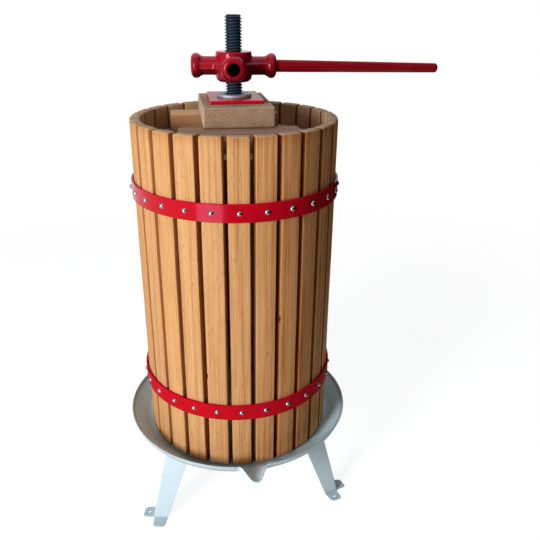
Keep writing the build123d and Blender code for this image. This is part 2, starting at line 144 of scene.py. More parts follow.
def softbox(name, place, aim, wide, tall, watts, colour=WHITE):
    """An upright rectangular lamp that faces one point."""
    lamp = bpy.data.lights.new(name, "AREA")
    lamp.shape = "RECTANGLE"
    lamp.size = wide
    lamp.size_y = tall
    lamp.energy = watts
    lamp.color = colour
    holder = bpy.data.objects.new(name, lamp)
    holder.location = place
    holder.rotation_mode = "QUATERNION"
    holder.rotation_quaternion = (aim - place).to_track_quat("-Z", "Y")
    holder.visible_camera = False
    scene.collection.objects.link(holder)
    return holder


def level_with(place):
    """The point of the screw's axis at the same height."""
    return Vector((0.0, 0.0, place.z))


softbox("key_window", KEY_PLACE, level_with(KEY_PLACE), KEY_WIDE, KEY_TALL, KEY_WATTS)
low_pane = softbox("low_pane", PANE_PLACE, level_with(PANE_PLACE), PANE_WIDE, PANE_TALL, PANE_WATTS)
low_pane.visible_diffuse = False
softbox("sky_softbox", SKY_PLACE, MIDDLE, SKY_SIDE, SKY_SIDE, SKY_WATTS, SKY_BLUE)
print("key lamp", round((KEY_PLACE - level_with(KEY_PLACE)).length, 2), "m away")

# %% [markdown]
# ## The floor
# The floor is a wide disc of pale paper. What the camera sees of it is a plain diffuse paper
# with a little glow added, so that it reaches white and the shadow still shows as a soft grey.
# Further out the lamp no longer reaches, so there the glow takes over and no horizon is left.

# %% Make the paper
PAPER = 0.82
SEEN_PAPER = 0.40
GLOW_NEAR, GLOW_FAR = 0.85, 1.0
FADE_FROM, FADE_TO = 0.55, 1.9


def white_paper():
    """Paper that is white to the camera except for the shadow."""
    paper = bpy.data.materials.new("white_paper")
    paper.use_nodes = True
    tree = paper.node_tree
    tree.nodes.remove(tree.nodes["Principled BSDF"])

    def matt(grey):
        shader = tree.nodes.new("ShaderNodeBsdfDiffuse")
        shader.inputs["Color"].default_value = (grey, grey, grey, 1.0)
        return shader.outputs["BSDF"]

    def glow(strength):
        shader = tree.nodes.new("ShaderNodeEmission")
        shader.inputs["Strength"].default_value = strength
        return shader.outputs["Emission"]

    def blend(share, one, other):
        shader = tree.nodes.new("ShaderNodeMixShader")
        tree.links.new(share, shader.inputs["Fac"])
        tree.links.new(one, shader.inputs[1])
        tree.links.new(other, shader.inputs[2])
        return shader.outputs["Shader"]

    # How far out this point is: 0 beside the press, 1 where the glow takes over
    where = tree.nodes.new("ShaderNodeTexCoord")
    reach = tree.nodes.new("ShaderNodeVectorMath")
    reach.operation = "LENGTH"
    tree.links.new(where.outputs["Object"], reach.inputs[0])
    fade = tree.nodes.new("ShaderNodeMapRange")
    fade.interpolation_type = "SMOOTHSTEP"
    tree.links.new(reach.outputs["Value"], fade.inputs["Value"])
    fade.inputs["From Min"].default_value = FADE_FROM
    fade.inputs["From Max"].default_value = FADE_TO

    near = tree.nodes.new("ShaderNodeAddShader")
    tree.links.new(matt(SEEN_PAPER), near.inputs[0])
    tree.links.new(glow(GLOW_NEAR), near.inputs[1])
    seen = blend(fade.outputs["Result"], near.outputs["Shader"], glow(GLOW_FAR))
    looks = blend(seen_directly(tree), matt(PAPER), seen)
    tree.links.new(looks, tree.nodes["Material Output"].inputs["Surface"])
    return paper


paper = white_paper()
print("paper:", len(paper.node_tree.nodes), "nodes")

# %% Lay the floor
FLOOR_RADIUS = 14.0
FLOOR_SIDES = 64
FLOOR_DROP = 0.0004


def lay_floor():
    """A wide disc just under the feet."""
    angles = [math.tau * k / FLOOR_SIDES for k in range(FLOOR_SIDES)]
    rim = [(FLOOR_RADIUS * math.cos(a), FLOOR_RADIUS * math.sin(a), -FLOOR_DROP) for a in angles]
    mesh = bpy.data.meshes.new("floor")
    mesh.from_pydata(rim, [], [list(range(FLOOR_SIDES))])
    mesh.materials.append(paper)
    disc = bpy.data.objects.new("floor", mesh)
    scene.collection.objects.link(disc)
    return disc


floor = lay_floor()
print("floor", floor.name, "radius", FLOOR_RADIUS)

# %% [markdown]
# ## The flag
# Gloss paint mirrors the white room, and on the shaded side that would turn deep red into pink.
# Less gloss would lose the highlights too, so a dark card stands there, folded round the front and
# the right side. A photo studio does the same and calls it a flag.
# It is there for reflections only: camera, light and shadow pass through it.

# %% Set up the flag
FLAG_PLAN = [(-0.45, -1.40), (0.60, -1.40), (0.60, 1.30)]
FLAG_TALL = 1.10
FLAG_GREY = 0.02


def make_flag():
    """A folded dark card, standing upright, that only reflections can see."""
    mesh = bpy.data.meshes.new("flag")
    count = len(FLAG_PLAN)
    corners = [(x, y, z) for z in (0.0, FLAG_TALL) for x, y in FLAG_PLAN]
    mesh.from_pydata(corners, [], [(k, k + 1, count + k + 1, count + k) for k in range(count - 1)])
    felt = bpy.data.materials.new("dark_felt")
    felt.use_nodes = True
    skin = felt.node_tree.nodes["Principled BSDF"]
    skin.inputs["Base Color"].default_value = (FLAG_GREY, FLAG_GREY, FLAG_GREY, 1.0)
    skin.inputs["Specular IOR Level"].default_value = 0.0
    mesh.materials.append(felt)
    card = bpy.data.objects.new("flag", mesh)
    scene.collection.objects.link(card)
    card.visible_camera = False
    card.visible_diffuse = False
    card.visible_shadow = False
    return card


flag = make_flag()
print(flag.name, "folds at", FLAG_PLAN[1])

# %% [markdown]
# ## A helper for finishes
# A finish is a node tree, and writing one node after another soon hides what it is for.
# The small class below adds a node per call and returns the socket to go on from,
# so that each finish further down reads as a recipe: a cloud, stretched, then turned to colour.

# %% Define the recipe helper


class Recipe:
    """A material being mixed, one node per call."""

    def __init__(self, name):
        self.material = bpy.data.materials.new(name)
        self.material.use_nodes = True
        self.tree = self.material.node_tree
        self.skin = self.tree.nodes["Principled BSDF"]
        where = self.add("ShaderNodeTexCoord")
        self.place = where.outputs["Object"]
        self.facing = where.outputs["Normal"]

    def add(self, kind, **settings):
        """A new node with its settings."""
        node = self.tree.nodes.new(kind)
        for key, value in settings.items():
            setattr(node, key, value)
        return node

    def feed(self, node, socket, value):
        """Wire a socket to another one, or set it to a plain value."""
        if isinstance(value, bpy.types.NodeSocket):
            self.tree.links.new(value, node.inputs[socket])
        else:
            node.inputs[socket].default_value = value

    def sums(self, how, *values):
        """One step of arithmetic."""
        node = self.add("ShaderNodeMath", operation=how)
        for place, value in enumerate(values):
            self.feed(node, place, value)
        return node.outputs[0]

    def nudged(self, base, value, by):
        """A base moved by another value times a number."""
        return self.sums("MULTIPLY_ADD", value, by, base)

    def weighed(self, *pairs):
        """The sum of several values, each with its own weight."""
        total = 0.0
        for value, weight in pairs:
            total = self.nudged(total, value, weight)
        return total

    def product(self, first, *others):
        """Several values multiplied together."""
        for value in others:
            first = self.sums("MULTIPLY", first, value)
        return first

    def distance(self, x, y):
        """How far off a place is by two offsets at right angles."""
        return self.sums("SQRT", self.sums("ADD", self.product(x, x), self.product(y, y)))

    def parts(self, vector):
        """The x, y and z of a vector socket."""
        node = self.add("ShaderNodeSeparateXYZ")
        self.feed(node, 0, vector)
        return node.outputs[0], node.outputs[1], node.outputs[2]

    def joined(self, x, y, z):
        """A vector out of three numbers or sockets."""
        node = self.add("ShaderNodeCombineXYZ")
        for place, value in enumerate((x, y, z)):
            self.feed(node, place, value)
        return node.outputs[0]

    def stretched(self, vector, scale, turn_z=0.0):
        """The same place, turned about Z and stretched along each axis."""
        node = self.add("ShaderNodeMapping")
        self.feed(node, "Vector", vector)
        self.feed(node, "Scale", scale)
        self.feed(node, "Rotation", (0.0, 0.0, turn_z))
        return node.outputs[0]

    def cloud(self, vector, size=1.0, detail=2.0, rough=0.5):
        """Soft random patches from 0 to 1."""
        node = self.add("ShaderNodeTexNoise")
        self.feed(node, "Vector", vector)
        for socket, value in (("Scale", size), ("Detail", detail), ("Roughness", rough)):
            self.feed(node, socket, value)
        return node.outputs[0]

    def streaks(self, vector, scale, detail, rough=0.5):
        """A cloud drawn out by a scale of its own along each axis."""
        return self.cloud(self.stretched(vector, scale), detail=detail, rough=rough)

    def ranged(self, value, low, high, new_low=0.0, new_high=1.0):
        """A value moved from one range to another and held inside it, with soft ends."""
        node = self.add("ShaderNodeMapRange", interpolation_type="SMOOTHSTEP")
        self.feed(node, "Value", value)
        limits = {"From Min": low, "From Max": high, "To Min": new_low, "To Max": new_high}
        for socket, limit in limits.items():
            self.feed(node, socket, limit)
        return node.outputs["Result"]

    def tones(self, value, stops):
        """Colours along a value: a list of (place, (r, g, b))."""
        node = self.add("ShaderNodeValToRGB")
        self.feed(node, "Fac", value)
        marks = node.color_ramp.elements
        while len(marks) < len(stops):
            marks.new(1.0)
        for mark, (place, colour) in zip(marks, stops):
            mark.position = place
            mark.color = (*colour, 1.0)
        return node.outputs["Color"]

    def mixed(self, share, one, other, how="MIX"):
        """Two colours mixed by a share."""
        node = self.add("ShaderNodeMix", data_type="RGBA", blend_type=how)
        self.feed(node, "Factor", share)
        for place, colour in ((MIX_ONE, one), (MIX_OTHER, other)):
            self.feed(node, place, (*colour, 1.0) if isinstance(colour, tuple) else colour)
        return node.outputs[MIX_RESULT]

    def toned(self, share, colour, tone):
        """A colour multiplied by a tone, as far as the share says."""
        return self.mixed(share, colour, tone, "MULTIPLY")

    def relief(self, height, strength, depth):
        """A fine relief in the surface, in metres."""
        node = self.add("ShaderNodeBump")
        self.feed(node, "Height", height)
        self.feed(node, "Strength", strength)
        self.feed(node, "Distance", depth)
        self.feed(self.skin, "Normal", node.outputs["Normal"])

    def surface(self, colour, rough, specular, metallic=0.0):
        """Colour, roughness, gloss and metal share of the main shader."""
        self.feed(self.skin, "Base Color", colour)
        self.feed(self.skin, "Roughness", rough)
        self.feed(self.skin, "Specular IOR Level", specular)
        self.feed(self.skin, "Metallic", metallic)


print("recipe helper ready")

# %% [markdown]
# ## Beech for the staves
# The staves are oiled beech: honey coloured, straight in the grain, with short dark flecks.
# One picture wrapped round the basket would run across the gaps, so the finish works out
# which stave a point is on from its angle and shifts the wood by a random amount for each.

# %% Find the place on a stave
from types import SimpleNamespace

STAVES = 26
STAVE_STEP = 0.0365  # from one stave to the next, round the basket
SHIFT_ACROSS, SHIFT_DEEP, SHIFT_ALONG = 3.0, 3.0, 7.0


def place_on_stave(wood):
    """Where a point lies on its stave, with three chances that are the same all over that stave."""
    spot = SimpleNamespace()
    spot.x, spot.y, spot.z = wood.parts(wood.place)
    around = wood.sums("MULTIPLY", wood.sums("ARCTAN2", spot.y, spot.x), STAVES / math.tau)
    spot.number = wood.sums("FLOOR", wood.sums("ADD", around, 0.5))
    spot.across = wood.sums("MULTIPLY", wood.sums("SUBTRACT", around, spot.number), STAVE_STEP)
    spot.depth = wood.distance(spot.x, spot.y)
    dice = wood.add("ShaderNodeTexWhiteNoise", noise_dimensions="1D")
    wood.feed(dice, "W", wood.sums("FLOORED_MODULO", spot.number, float(STAVES)))
    spot.chance_a, spot.chance_b, spot.chance_c = wood.parts(dice.outputs["Color"])
    spot.board = wood.joined(
        wood.nudged(spot.across, spot.chance_a, SHIFT_ACROSS),
        wood.nudged(spot.depth, spot.chance_b, SHIFT_DEEP),
        wood.nudged(spot.z, spot.chance_c, SHIFT_ALONG),
    )
    return spot


print("wood is shifted for each of", STAVES, "staves")

# %% [markdown]
# Growth rings are drawn as a solid, so the end grain on the rim agrees with the faces:
# they are the distance from a heart line somewhere behind the board, counted up and down.
# Fibres, bands and flecks are clouds, stretched along the board as the tree grew.

# %% Draw the grain of the beech
RING_WIDTH = 0.0034
RING_WAVE = 0.010
BOARD_MIDDLE = 0.143
HEART_BEHIND, HEART_SPREAD = 0.03, 0.10
HEART_SIDE = 0.06
# Painted shade: the stave number in the middle of the basket's shaded front-right side, and how far its
# darker, more red tone reaches
SHADED_BOARD = -3.0
SHADE_RED_FROM, SHADE_RED_TO, SHADE_RED_CHANCE = 0.45, 1.15, 0.30
BOLD_PLAIN, BOLD_SHADED = 0.8, 0.9
BEECH_TONES = [
    (0.33, (0.452, 0.190, 0.062)),
    (0.48, (0.648, 0.337, 0.139)),
    (0.62, (0.748, 0.426, 0.196)),
]


def beech_grain(wood, spot):
    """Rings and clouds of one board; they stay with the place, because later steps use them too."""
    wander = wood.streaks(spot.board, (30.0, 30.0, 3.0), 1.0)
    heart = wood.nudged(HEART_BEHIND, spot.chance_b, HEART_SPREAD)
    aside = wood.nudged(-HEART_SIDE, spot.chance_a, 2 * HEART_SIDE)
    reach = wood.distance(
        wood.sums("ADD", spot.across, aside),
        wood.sums("ADD", wood.sums("SUBTRACT", spot.depth, BOARD_MIDDLE), heart),
    )
    reach = wood.nudged(reach, wander, RING_WAVE)
    spot.rings = wood.sums("PINGPONG", wood.sums("DIVIDE", reach, RING_WIDTH), 1.0)
    spot.fibres = wood.streaks(spot.board, (1100.0, 1100.0, 14.0), 3.0, 0.6)
    spot.lines = wood.streaks(spot.board, (560.0, 560.0, 6.0), 2.0)
    spot.bands = wood.streaks(spot.board, (150.0, 150.0, 2.5), 2.0)
    spot.blotch = wood.streaks(spot.board, (40.0, 40.0, 14.0), 3.0)
    spot.flecks = wood.streaks(spot.board, (560.0, 560.0, 90.0), 1.0)
    spot.spots = wood.streaks(spot.board, (150.0, 150.0, 70.0), 1.0)


def beech_face(wood, spot):
    """The long-grain colour, with painted shade: boards round the front-right, where the basket is in
    shade, get a darker, more red tone and bolder grain, with a random share.
    """
    angle = wood.sums("MULTIPLY", wood.sums("SUBTRACT", spot.number, SHADED_BOARD), math.tau / STAVES)
    shaded_redder = wood.nudged(wood.sums("COSINE", angle), spot.chance_b, SHADE_RED_CHANCE)
    shaded_redder = wood.ranged(shaded_redder, SHADE_RED_FROM, SHADE_RED_TO)
    grain = wood.weighed(
        (spot.rings, 0.12), (spot.fibres, 0.36), (spot.bands, 0.14), (spot.lines, 0.38)
    )
    bold = wood.nudged(BOLD_PLAIN, shaded_redder, BOLD_SHADED)
    grain = wood.sums("MULTIPLY_ADD", wood.sums("SUBTRACT", grain, 0.5), bold, 0.5)
    face = wood.tones(grain, BEECH_TONES)
    face = wood.toned(wood.ranged(spot.chance_c, 0.0, 1.0, 0.0, 0.60), face, (0.86, 0.90, 0.93))
    # painted shade: the boards on the shaded side are toned darker and more red
    face = wood.toned(shaded_redder, face, (1.04, 0.88, 0.74))
    # Each kind of dark mark: its cloud, where it begins and is full, its share and its tone
    for cloud, begins, full, share, tone in (
        (spot.blotch, 0.50, 0.80, 0.40, (0.84, 0.72, 0.62)),
        (spot.flecks, 0.63, 0.74, 0.46, (0.56, 0.40, 0.28)),
        (spot.spots, 0.77, 0.85, 0.60, (0.50, 0.34, 0.22)),
    ):
        face = wood.toned(wood.ranged(cloud, begins, full, 0.0, share), face, tone)
    return face


print("beech tones:", len(BEECH_TONES))

# %% [markdown]
# Use has marked the boards: juice and handling have darkened both ends and the inside has gone grey.
# Along the gaps the side walls of each board get painted shade, less on the wall that faces
# counter-clockwise, where painted light stands in for light reaching into the gaps.
# All of this could be painted by hand on 26 boards; here the height and the way a face looks
# (outwards, inwards or sideways, seen from the screw) decide it.

# %% Stain the beech
FOOT_Z, HEAD_Z = 0.140, 0.656
FOOT_BELOW, FOOT_ABOVE = 0.006, 0.020
FOOT_SPREAD = 0.018
HEAD_FADE, HEAD_SHARE = 0.010, 0.35
STAIN_WAVE = 0.020
BOARD_STAIN = (0.58, 0.36, 0.20)
INSIDE_SHARE = 0.55
INSIDE_TONE = (0.700, 0.460, 0.300)
# Painted shade on the walls of the gaps between staves, and a lighter tone for painted light on the walls
# that face counter-clockwise
GAP_WALL_SHADE = (0.42, 0.30, 0.23)
GAP_WALL_LIT = (0.95, 0.69, 0.55)


def stained_ends(wood, spot, face):
    """Both ends of a board darkened, to a different height on each."""
    uneven = wood.nudged(spot.z, spot.blotch, STAIN_WAVE)
    foot_height = wood.nudged(uneven, spot.chance_a, -FOOT_SPREAD)
    foot = wood.ranged(foot_height, FOOT_Z - FOOT_BELOW, FOOT_Z + FOOT_ABOVE, 1.0, 0.0)
    head = wood.ranged(uneven, HEAD_Z - HEAD_FADE, HEAD_Z + HEAD_FADE, 0.0, HEAD_SHARE)
    return wood.toned(wood.sums("MAXIMUM", foot, head), face, BOARD_STAIN)


def inside_and_gap_shade(wood, spot, face):
    """The greyer inside, and painted shade on the gap walls of each board, lighter on the counter-clockwise
    wall.
    """
    facing_x, facing_y, _ = wood.parts(wood.facing)
    outward = wood.sums("ADD", wood.product(facing_x, spot.x), wood.product(facing_y, spot.y))
    outward = wood.sums("DIVIDE", outward, spot.depth)
    inside = wood.ranged(outward, -0.80, -0.30, INSIDE_SHARE, 0.0)
    face = wood.mixed(inside, face, INSIDE_TONE)
    sideways = wood.sums("SUBTRACT", wood.product(facing_y, spot.x), wood.product(facing_x, spot.y))
    lit_wall_share = wood.ranged(wood.sums("DIVIDE", sideways, spot.depth), -0.3, 0.3)
    # painted shade in the gaps, lightened by painted light on the counter-clockwise wall of each board
    edge = wood.ranged(wood.sums("ABSOLUTE", outward), 0.45, 0.96, 1.0, 0.0)
    return wood.toned(edge, face, wood.mixed(lit_wall_share, GAP_WALL_SHADE, GAP_WALL_LIT))


foot_stain_mm = 1000 * (FOOT_ABOVE + FOOT_SPREAD - STAIN_WAVE / 2)
print("feet are stained up to about", round(foot_stain_mm), "mm")

# %% [markdown]
# The ends of the boards look different again: there the cut crosses the fibres, so it is darker and
# greyer, with rings and pores. The finish puts the steps together, and a weak relief from
# the fibres breaks up the oil's dull shine.

# %% Mix the beech
END_TONES = [
    (0.25, (0.420, 0.265, 0.165)),
    (0.55, (0.580, 0.395, 0.265)),
    (0.80, (0.690, 0.490, 0.340)),
]
FIBRE_RELIEF, FIBRE_DEPTH = 0.35, 0.00025
OIL_GLOSS = 0.02


def beech_finish():
    """Oiled beech that changes from stave to stave."""
    wood = Recipe("oiled_beech")
    spot = place_on_stave(wood)
    beech_grain(wood, spot)
    face = stained_ends(wood, spot, beech_face(wood, spot))
    face = inside_and_gap_shade(wood, spot, face)
    pores = wood.streaks(spot.board, (900.0, 900.0, 900.0), 2.0)
    ends = wood.tones(wood.weighed((spot.rings, 0.22), (pores, 0.78)), END_TONES)
    is_end = wood.ranged(wood.sums("ABSOLUTE", wood.parts(wood.facing)[2]), 0.45, 0.75)
    rough = wood.ranged(spot.bands, 0.2, 0.8, 0.50, 0.68)
    wood.surface(wood.mixed(is_end, face, ends), rough, OIL_GLOSS)
    pitted = wood.sums("SUBTRACT", spot.fibres, wood.ranged(spot.flecks, 0.63, 0.74, 0.0, 0.5))
    wood.relief(pitted, FIBRE_RELIEF, FIBRE_DEPTH)
    return wood.material


beech = beech_finish()
print("beech:", len(beech.node_tree.nodes), "nodes")

# %% [markdown]
# ## Sawn timber for the pressing stack
# The block, the bars and the half boards are plainer, greyer timber straight from the saw.
# The same idea of solid rings works here, but each board needs its own grain direction,
# so the recipe takes the axis that the grain follows and the place of the tree's heart.

# %% Draw the sawn grain
STACK_TURN = math.radians(3.1)
UNSTRETCHED = (1.0, 1.0, 1.0)
SAWN_RING = 0.0016
RING_WANDER, RING_SHIVER = 0.009, 0.0022
BLOTCH_TONE = (0.80, 0.74, 0.70)
HATCH_ACROSS, HATCH_UP, HATCH_LONG = 430.0, 520.0, 60.0


def sawn_grain(wood, along, heart):
    """Rings about a heart line and the clouds of one board, with its grain along X (0) or Y (1)."""
    spot = SimpleNamespace()
    x, y, spot.z = wood.parts(wood.stretched(wood.place, UNSTRETCHED, STACK_TURN))
    length, spot.width = (x, y) if along == 0 else (y, x)
    board = wood.joined(length, spot.width, spot.z)
    reach = wood.distance(
        wood.sums("SUBTRACT", spot.width, heart[0]), wood.sums("SUBTRACT", spot.z, heart[1])
    )
    reach = wood.nudged(reach, wood.streaks(board, (4.0, 26.0, 26.0), 2.0), RING_WANDER)
    reach = wood.nudged(reach, wood.streaks(board, (190.0, 190.0, 190.0), 1.0), RING_SHIVER)
    rings = wood.sums("PINGPONG", wood.sums("DIVIDE", reach, SAWN_RING), 1.0)
    spot.rings = wood.ranged(rings, 0.1, 0.95)
    spot.fibres = wood.streaks(board, (22.0, 1300.0, 1300.0), 3.0, 0.6)
    spot.pores = wood.streaks(board, (800.0, 800.0, 800.0), 3.0, 0.65)
    spot.blotch = wood.streaks(board, (18.0, 45.0, 45.0), 3.0)
    spot.saw_marks = wood.streaks(board, (420.0, 12.0, 12.0), 1.0)
    spot.speckle = wood.streaks(board, (420.0, 420.0, 420.0), 2.0)
    spot.bold = wood.streaks(board, (60.0, 60.0, 60.0), 2.0)
    return spot


def sawn_face(wood, spot, light, dark):
    """The long-grain colour of sawn timber."""
    grain = wood.weighed((spot.rings, 0.30), (spot.fibres, 0.70))
    face = wood.tones(grain, [(0.25, dark), (0.75, light)])
    return wood.toned(wood.ranged(spot.blotch, 0.45, 0.75, 0.0, 0.5), face, BLOTCH_TONE)


def sawn_end(wood, spot, light, dark):
    """The end grain: rings in bolder and weaker patches, pores, and the slanting hatch of the saw."""
    ring_mark = wood.product(spot.rings, wood.ranged(spot.bold, 0.30, 0.70, 0.07, 0.24))
    slant = wood.weighed((spot.width, HATCH_ACROSS), (spot.z, HATCH_UP))
    hatch = wood.cloud(wood.joined(slant, wood.product(spot.z, HATCH_LONG), 0.0), detail=1.0)
    grain = wood.weighed((ring_mark, 1.0), (spot.pores, 0.36), (spot.speckle, 0.34), (hatch, 0.20))
    return wood.tones(grain, [(0.28, dark), (0.68, light)])


print("saw marks slant by", round(math.degrees(math.atan2(HATCH_ACROSS, HATCH_UP))), "degrees")

# %% [markdown]
# The block's lower edge is darker: a ragged bruise from being pressed down again and again, with the
# contact shadow where it sits on the bars painted in. The rear bar's top is painted lighter, for the light
# that falls on it. Both are options of the one recipe, so that the four timbers stay related, as boards
# from one yard are.

# %% Mix the sawn timber
BLOCK_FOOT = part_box("top_block")[0].z
# Darker lower edge of the block: a ragged bruise with painted contact shadow where it sits on the bars
BRUISE_AND_SHADOW = (0.30, 0.26, 0.24)
BRUISE_AND_SHADOW_SHARE = 0.90
BRUISE_AND_SHADOW_RAGGED = 0.0040
BRUISE_AND_SHADOW_FROM, BRUISE_AND_SHADOW_TO = -0.0014, 0.0012
# Painted light: how far faces that look up take the lighter top colour
LIT_TOP_SHARE = 0.80
SAWN_RELIEF, SAWN_DEPTH = 0.45, 0.0004
SAWN_GLOSS = 0.03


def timber_finish(name, along, heart, light, dark, end_light, end_dark, foot=None, top=None):
    """Sawn timber; foot is the height of a lower edge darkened by a bruise and painted contact shadow, top
    the colour of a lighter top painted where light falls.
    """
    wood = Recipe(name)
    spot = sawn_grain(wood, along, heart)
    facing = wood.parts(wood.stretched(wood.facing, UNSTRETCHED, STACK_TURN))
    is_end = wood.ranged(wood.sums("ABSOLUTE", facing[along]), 0.6, 0.8)
    face = sawn_face(wood, spot, light, dark)
    colour = wood.mixed(is_end, face, sawn_end(wood, spot, end_light, end_dark))
    # painted light on the faces that look up
    if top is not None:
        colour = wood.mixed(wood.ranged(facing[2], 0.6, 0.9, 0.0, LIT_TOP_SHARE), colour, top)
    if foot is not None:
        # painted contact shadow along the block's lower edge, with a ragged bruise
        ragged = wood.nudged(spot.z, spot.speckle, -BRUISE_AND_SHADOW_RAGGED)
        bruised_and_shaded = wood.ranged(ragged, foot + BRUISE_AND_SHADOW_FROM, foot + BRUISE_AND_SHADOW_TO, BRUISE_AND_SHADOW_SHARE, 0.0)
        colour = wood.toned(bruised_and_shaded, colour, BRUISE_AND_SHADOW)
    wood.surface(colour, wood.ranged(spot.blotch, 0.2, 0.8, 0.62, 0.80), SAWN_GLOSS)
    height = wood.weighed((spot.saw_marks, 0.4), (spot.fibres, 1.0), (spot.rings, 0.3))
    wood.relief(height, SAWN_RELIEF, SAWN_DEPTH)
    return wood.material


block_timber = timber_finish(
    "block_timber", along=1, heart=(-0.1375, 0.8775),
    light=(0.610, 0.465, 0.352), dark=(0.480, 0.343, 0.245),
    end_light=(0.452, 0.300, 0.196), end_dark=(0.235, 0.136, 0.079), foot=BLOCK_FOOT,
)
front_bar_timber = timber_finish(
    "front_bar_timber", along=0, heart=(0.010, 0.570),
    light=(0.480, 0.310, 0.230), dark=(0.350, 0.200, 0.135),
    end_light=(0.420, 0.260, 0.160), end_dark=(0.230, 0.130, 0.076),
)
bar_timber = timber_finish(
    "bar_timber", along=0, heart=(0.020, 0.560),
    light=(0.690, 0.365, 0.184), dark=(0.510, 0.240, 0.106),
    # top: painted light on the rear bar's top face
    end_light=(0.480, 0.290, 0.165), end_dark=(0.260, 0.145, 0.080), top=(0.830, 0.530, 0.320),
)
board_timber = timber_finish(
    "board_timber", along=1, heart=(0.030, 0.540),
    light=(0.440, 0.285, 0.185), dark=(0.310, 0.185, 0.112),
    end_light=(0.330, 0.210, 0.130), end_dark=(0.190, 0.112, 0.066),
)
print("timbers:", block_timber.name, front_bar_timber.name, bar_timber.name, board_timber.name)

# %% [markdown]
# ## Wear and painted shade on the paint
# The tray's grey-blue enamel is stained where juice stands under the basket and on its way to the lip,
# and the same mark paints the contact shadow next to the staves' feet. Its rolled rim is rubbed dull, with
# painted shade under the roll.
# A painted picture of the stain would need an unwrapped tray; the distance from the screw does as well.

# %% Stain the tray
# Dark ring on the tray's floor: juice stain and painted contact shadow beside the staves' feet
JUICE_AND_SHADOW = (0.110, 0.150, 0.190)
JUICE_AND_SHADOW_SHARE = 0.80
JUICE_AND_SHADOW_FROM, JUICE_AND_SHADOW_TO = 0.148, 0.166
JUICE_AND_SHADOW_PATCH, JUICE_AND_SHADOW_RAGGED = 70.0, 0.003
BASKET_FROM, BASKET_TO = 0.134, 0.138
LIP_SIDE_FROM, LIP_SIDE_TO = -0.130, -0.020
RIM_FROM, RIM_TO = 0.1796, 0.1814
RIM_TONE = (0.430, 0.470, 0.485)
RIM_SHARE = 0.75
# Painted shade along the underside of the rolled rim
RIM_UNDERSIDE_SHADE = (0.120, 0.150, 0.165)
RIM_UNDERSIDE_SHADE_SHARE = 0.85
RIM_FOOT_Z, RIM_UNDERSIDE_SHADE_TALL = 0.1538, 0.0042
LIP_X = -0.006
LIP_HALF_FROM, LIP_HALF_TO = 0.020, 0.027
FRONT_FROM, FRONT_TO = -0.05, 0.0


def juice_and_shadow(paint):
    """How dark the tray's floor is made, for juice stain and painted contact shadow: all of it in the
    basket, a ragged edge at the front.
    """
    x, y, _ = paint.parts(paint.place)
    out = paint.distance(x, y)
    patches = paint.cloud(paint.place, JUICE_AND_SHADOW_PATCH, detail=3.0)
    ragged = paint.ranged(patches, 0.3, 0.7, -JUICE_AND_SHADOW_RAGGED, JUICE_AND_SHADOW_RAGGED)
    wet_and_shaded = paint.ranged(paint.sums("ADD", out, ragged), JUICE_AND_SHADOW_FROM, JUICE_AND_SHADOW_TO, JUICE_AND_SHADOW_SHARE, 0.0)
    in_basket = paint.ranged(out, BASKET_FROM, BASKET_TO, 1.0, 0.0)
    towards_lip = paint.ranged(y, LIP_SIDE_FROM, LIP_SIDE_TO, 1.0, 0.0)
    upper_side = paint.ranged(paint.parts(paint.facing)[2], 0.0, 0.4)
    return paint.product(wet_and_shaded, paint.sums("MAXIMUM", in_basket, towards_lip), upper_side)


def worn_and_shaded_tray(paint, body):
    """The stained floor, and the rolled rim rubbed, with painted shade along its underside, everywhere but
    at the lip.
    """
    body = paint.mixed(juice_and_shadow(paint), body, JUICE_AND_SHADOW)
    x, y, z = paint.parts(paint.place)
    off_lip = paint.sums("ABSOLUTE", paint.sums("SUBTRACT", x, LIP_X))
    beside_lip = paint.ranged(off_lip, LIP_HALF_FROM, LIP_HALF_TO)
    behind = paint.ranged(y, FRONT_FROM, FRONT_TO)
    on_rim = paint.product(
        paint.ranged(paint.distance(x, y), RIM_FROM, RIM_TO), paint.sums("MAXIMUM", beside_lip, behind)
    )
    rubbed = paint.mixed(paint.product(on_rim, RIM_SHARE), body, RIM_TONE)
    # painted shade under the roll
    under_roll_shade = paint.ranged(z, RIM_FOOT_Z, RIM_FOOT_Z + RIM_UNDERSIDE_SHADE_TALL, RIM_UNDERSIDE_SHADE_SHARE, 0.0)
    return paint.mixed(paint.product(on_rim, under_roll_shade), rubbed, RIM_UNDERSIDE_SHADE)


# the juice stain and the painted contact shadow reach this far
print("juice stands out to", JUICE_AND_SHADOW_TO, "m from the screw")

# %% [markdown]
# The legs get painted shade along their sharp edges and near the ground.
# The Bevel node finds such edges without touching the mesh: near an edge the rounded normal that it
# gives leaves the flat one, and the more they differ, the darker the paint.
# On the casting, painted shade darkens what faces down.

# %% Paint shade on the legs' edges and feet, and under the casting
# Painted shade on the legs: along sharp edges and near the ground
LEG_SHADE = (0.300, 0.360, 0.390)
EDGE_SHADE_REACH = 0.0016
EDGE_SHADE_SHARE = 0.85
EDGE_SHADE_SAMPLES = 6
FOOT_SHADE_Z = 0.008
FOOT_SHADE_SHARE = 0.30
# Painted shade on the faces of the casting that look down
CASTING_UNDERSIDE_SHADE = (0.040, 0.0010, 0.0022)
CASTING_UNDERSIDE_SHADE_SHARE = 0.70
CASTING_UNDERSIDE_SHADE_FULL, CASTING_UNDERSIDE_SHADE_NONE = -0.70, 0.10


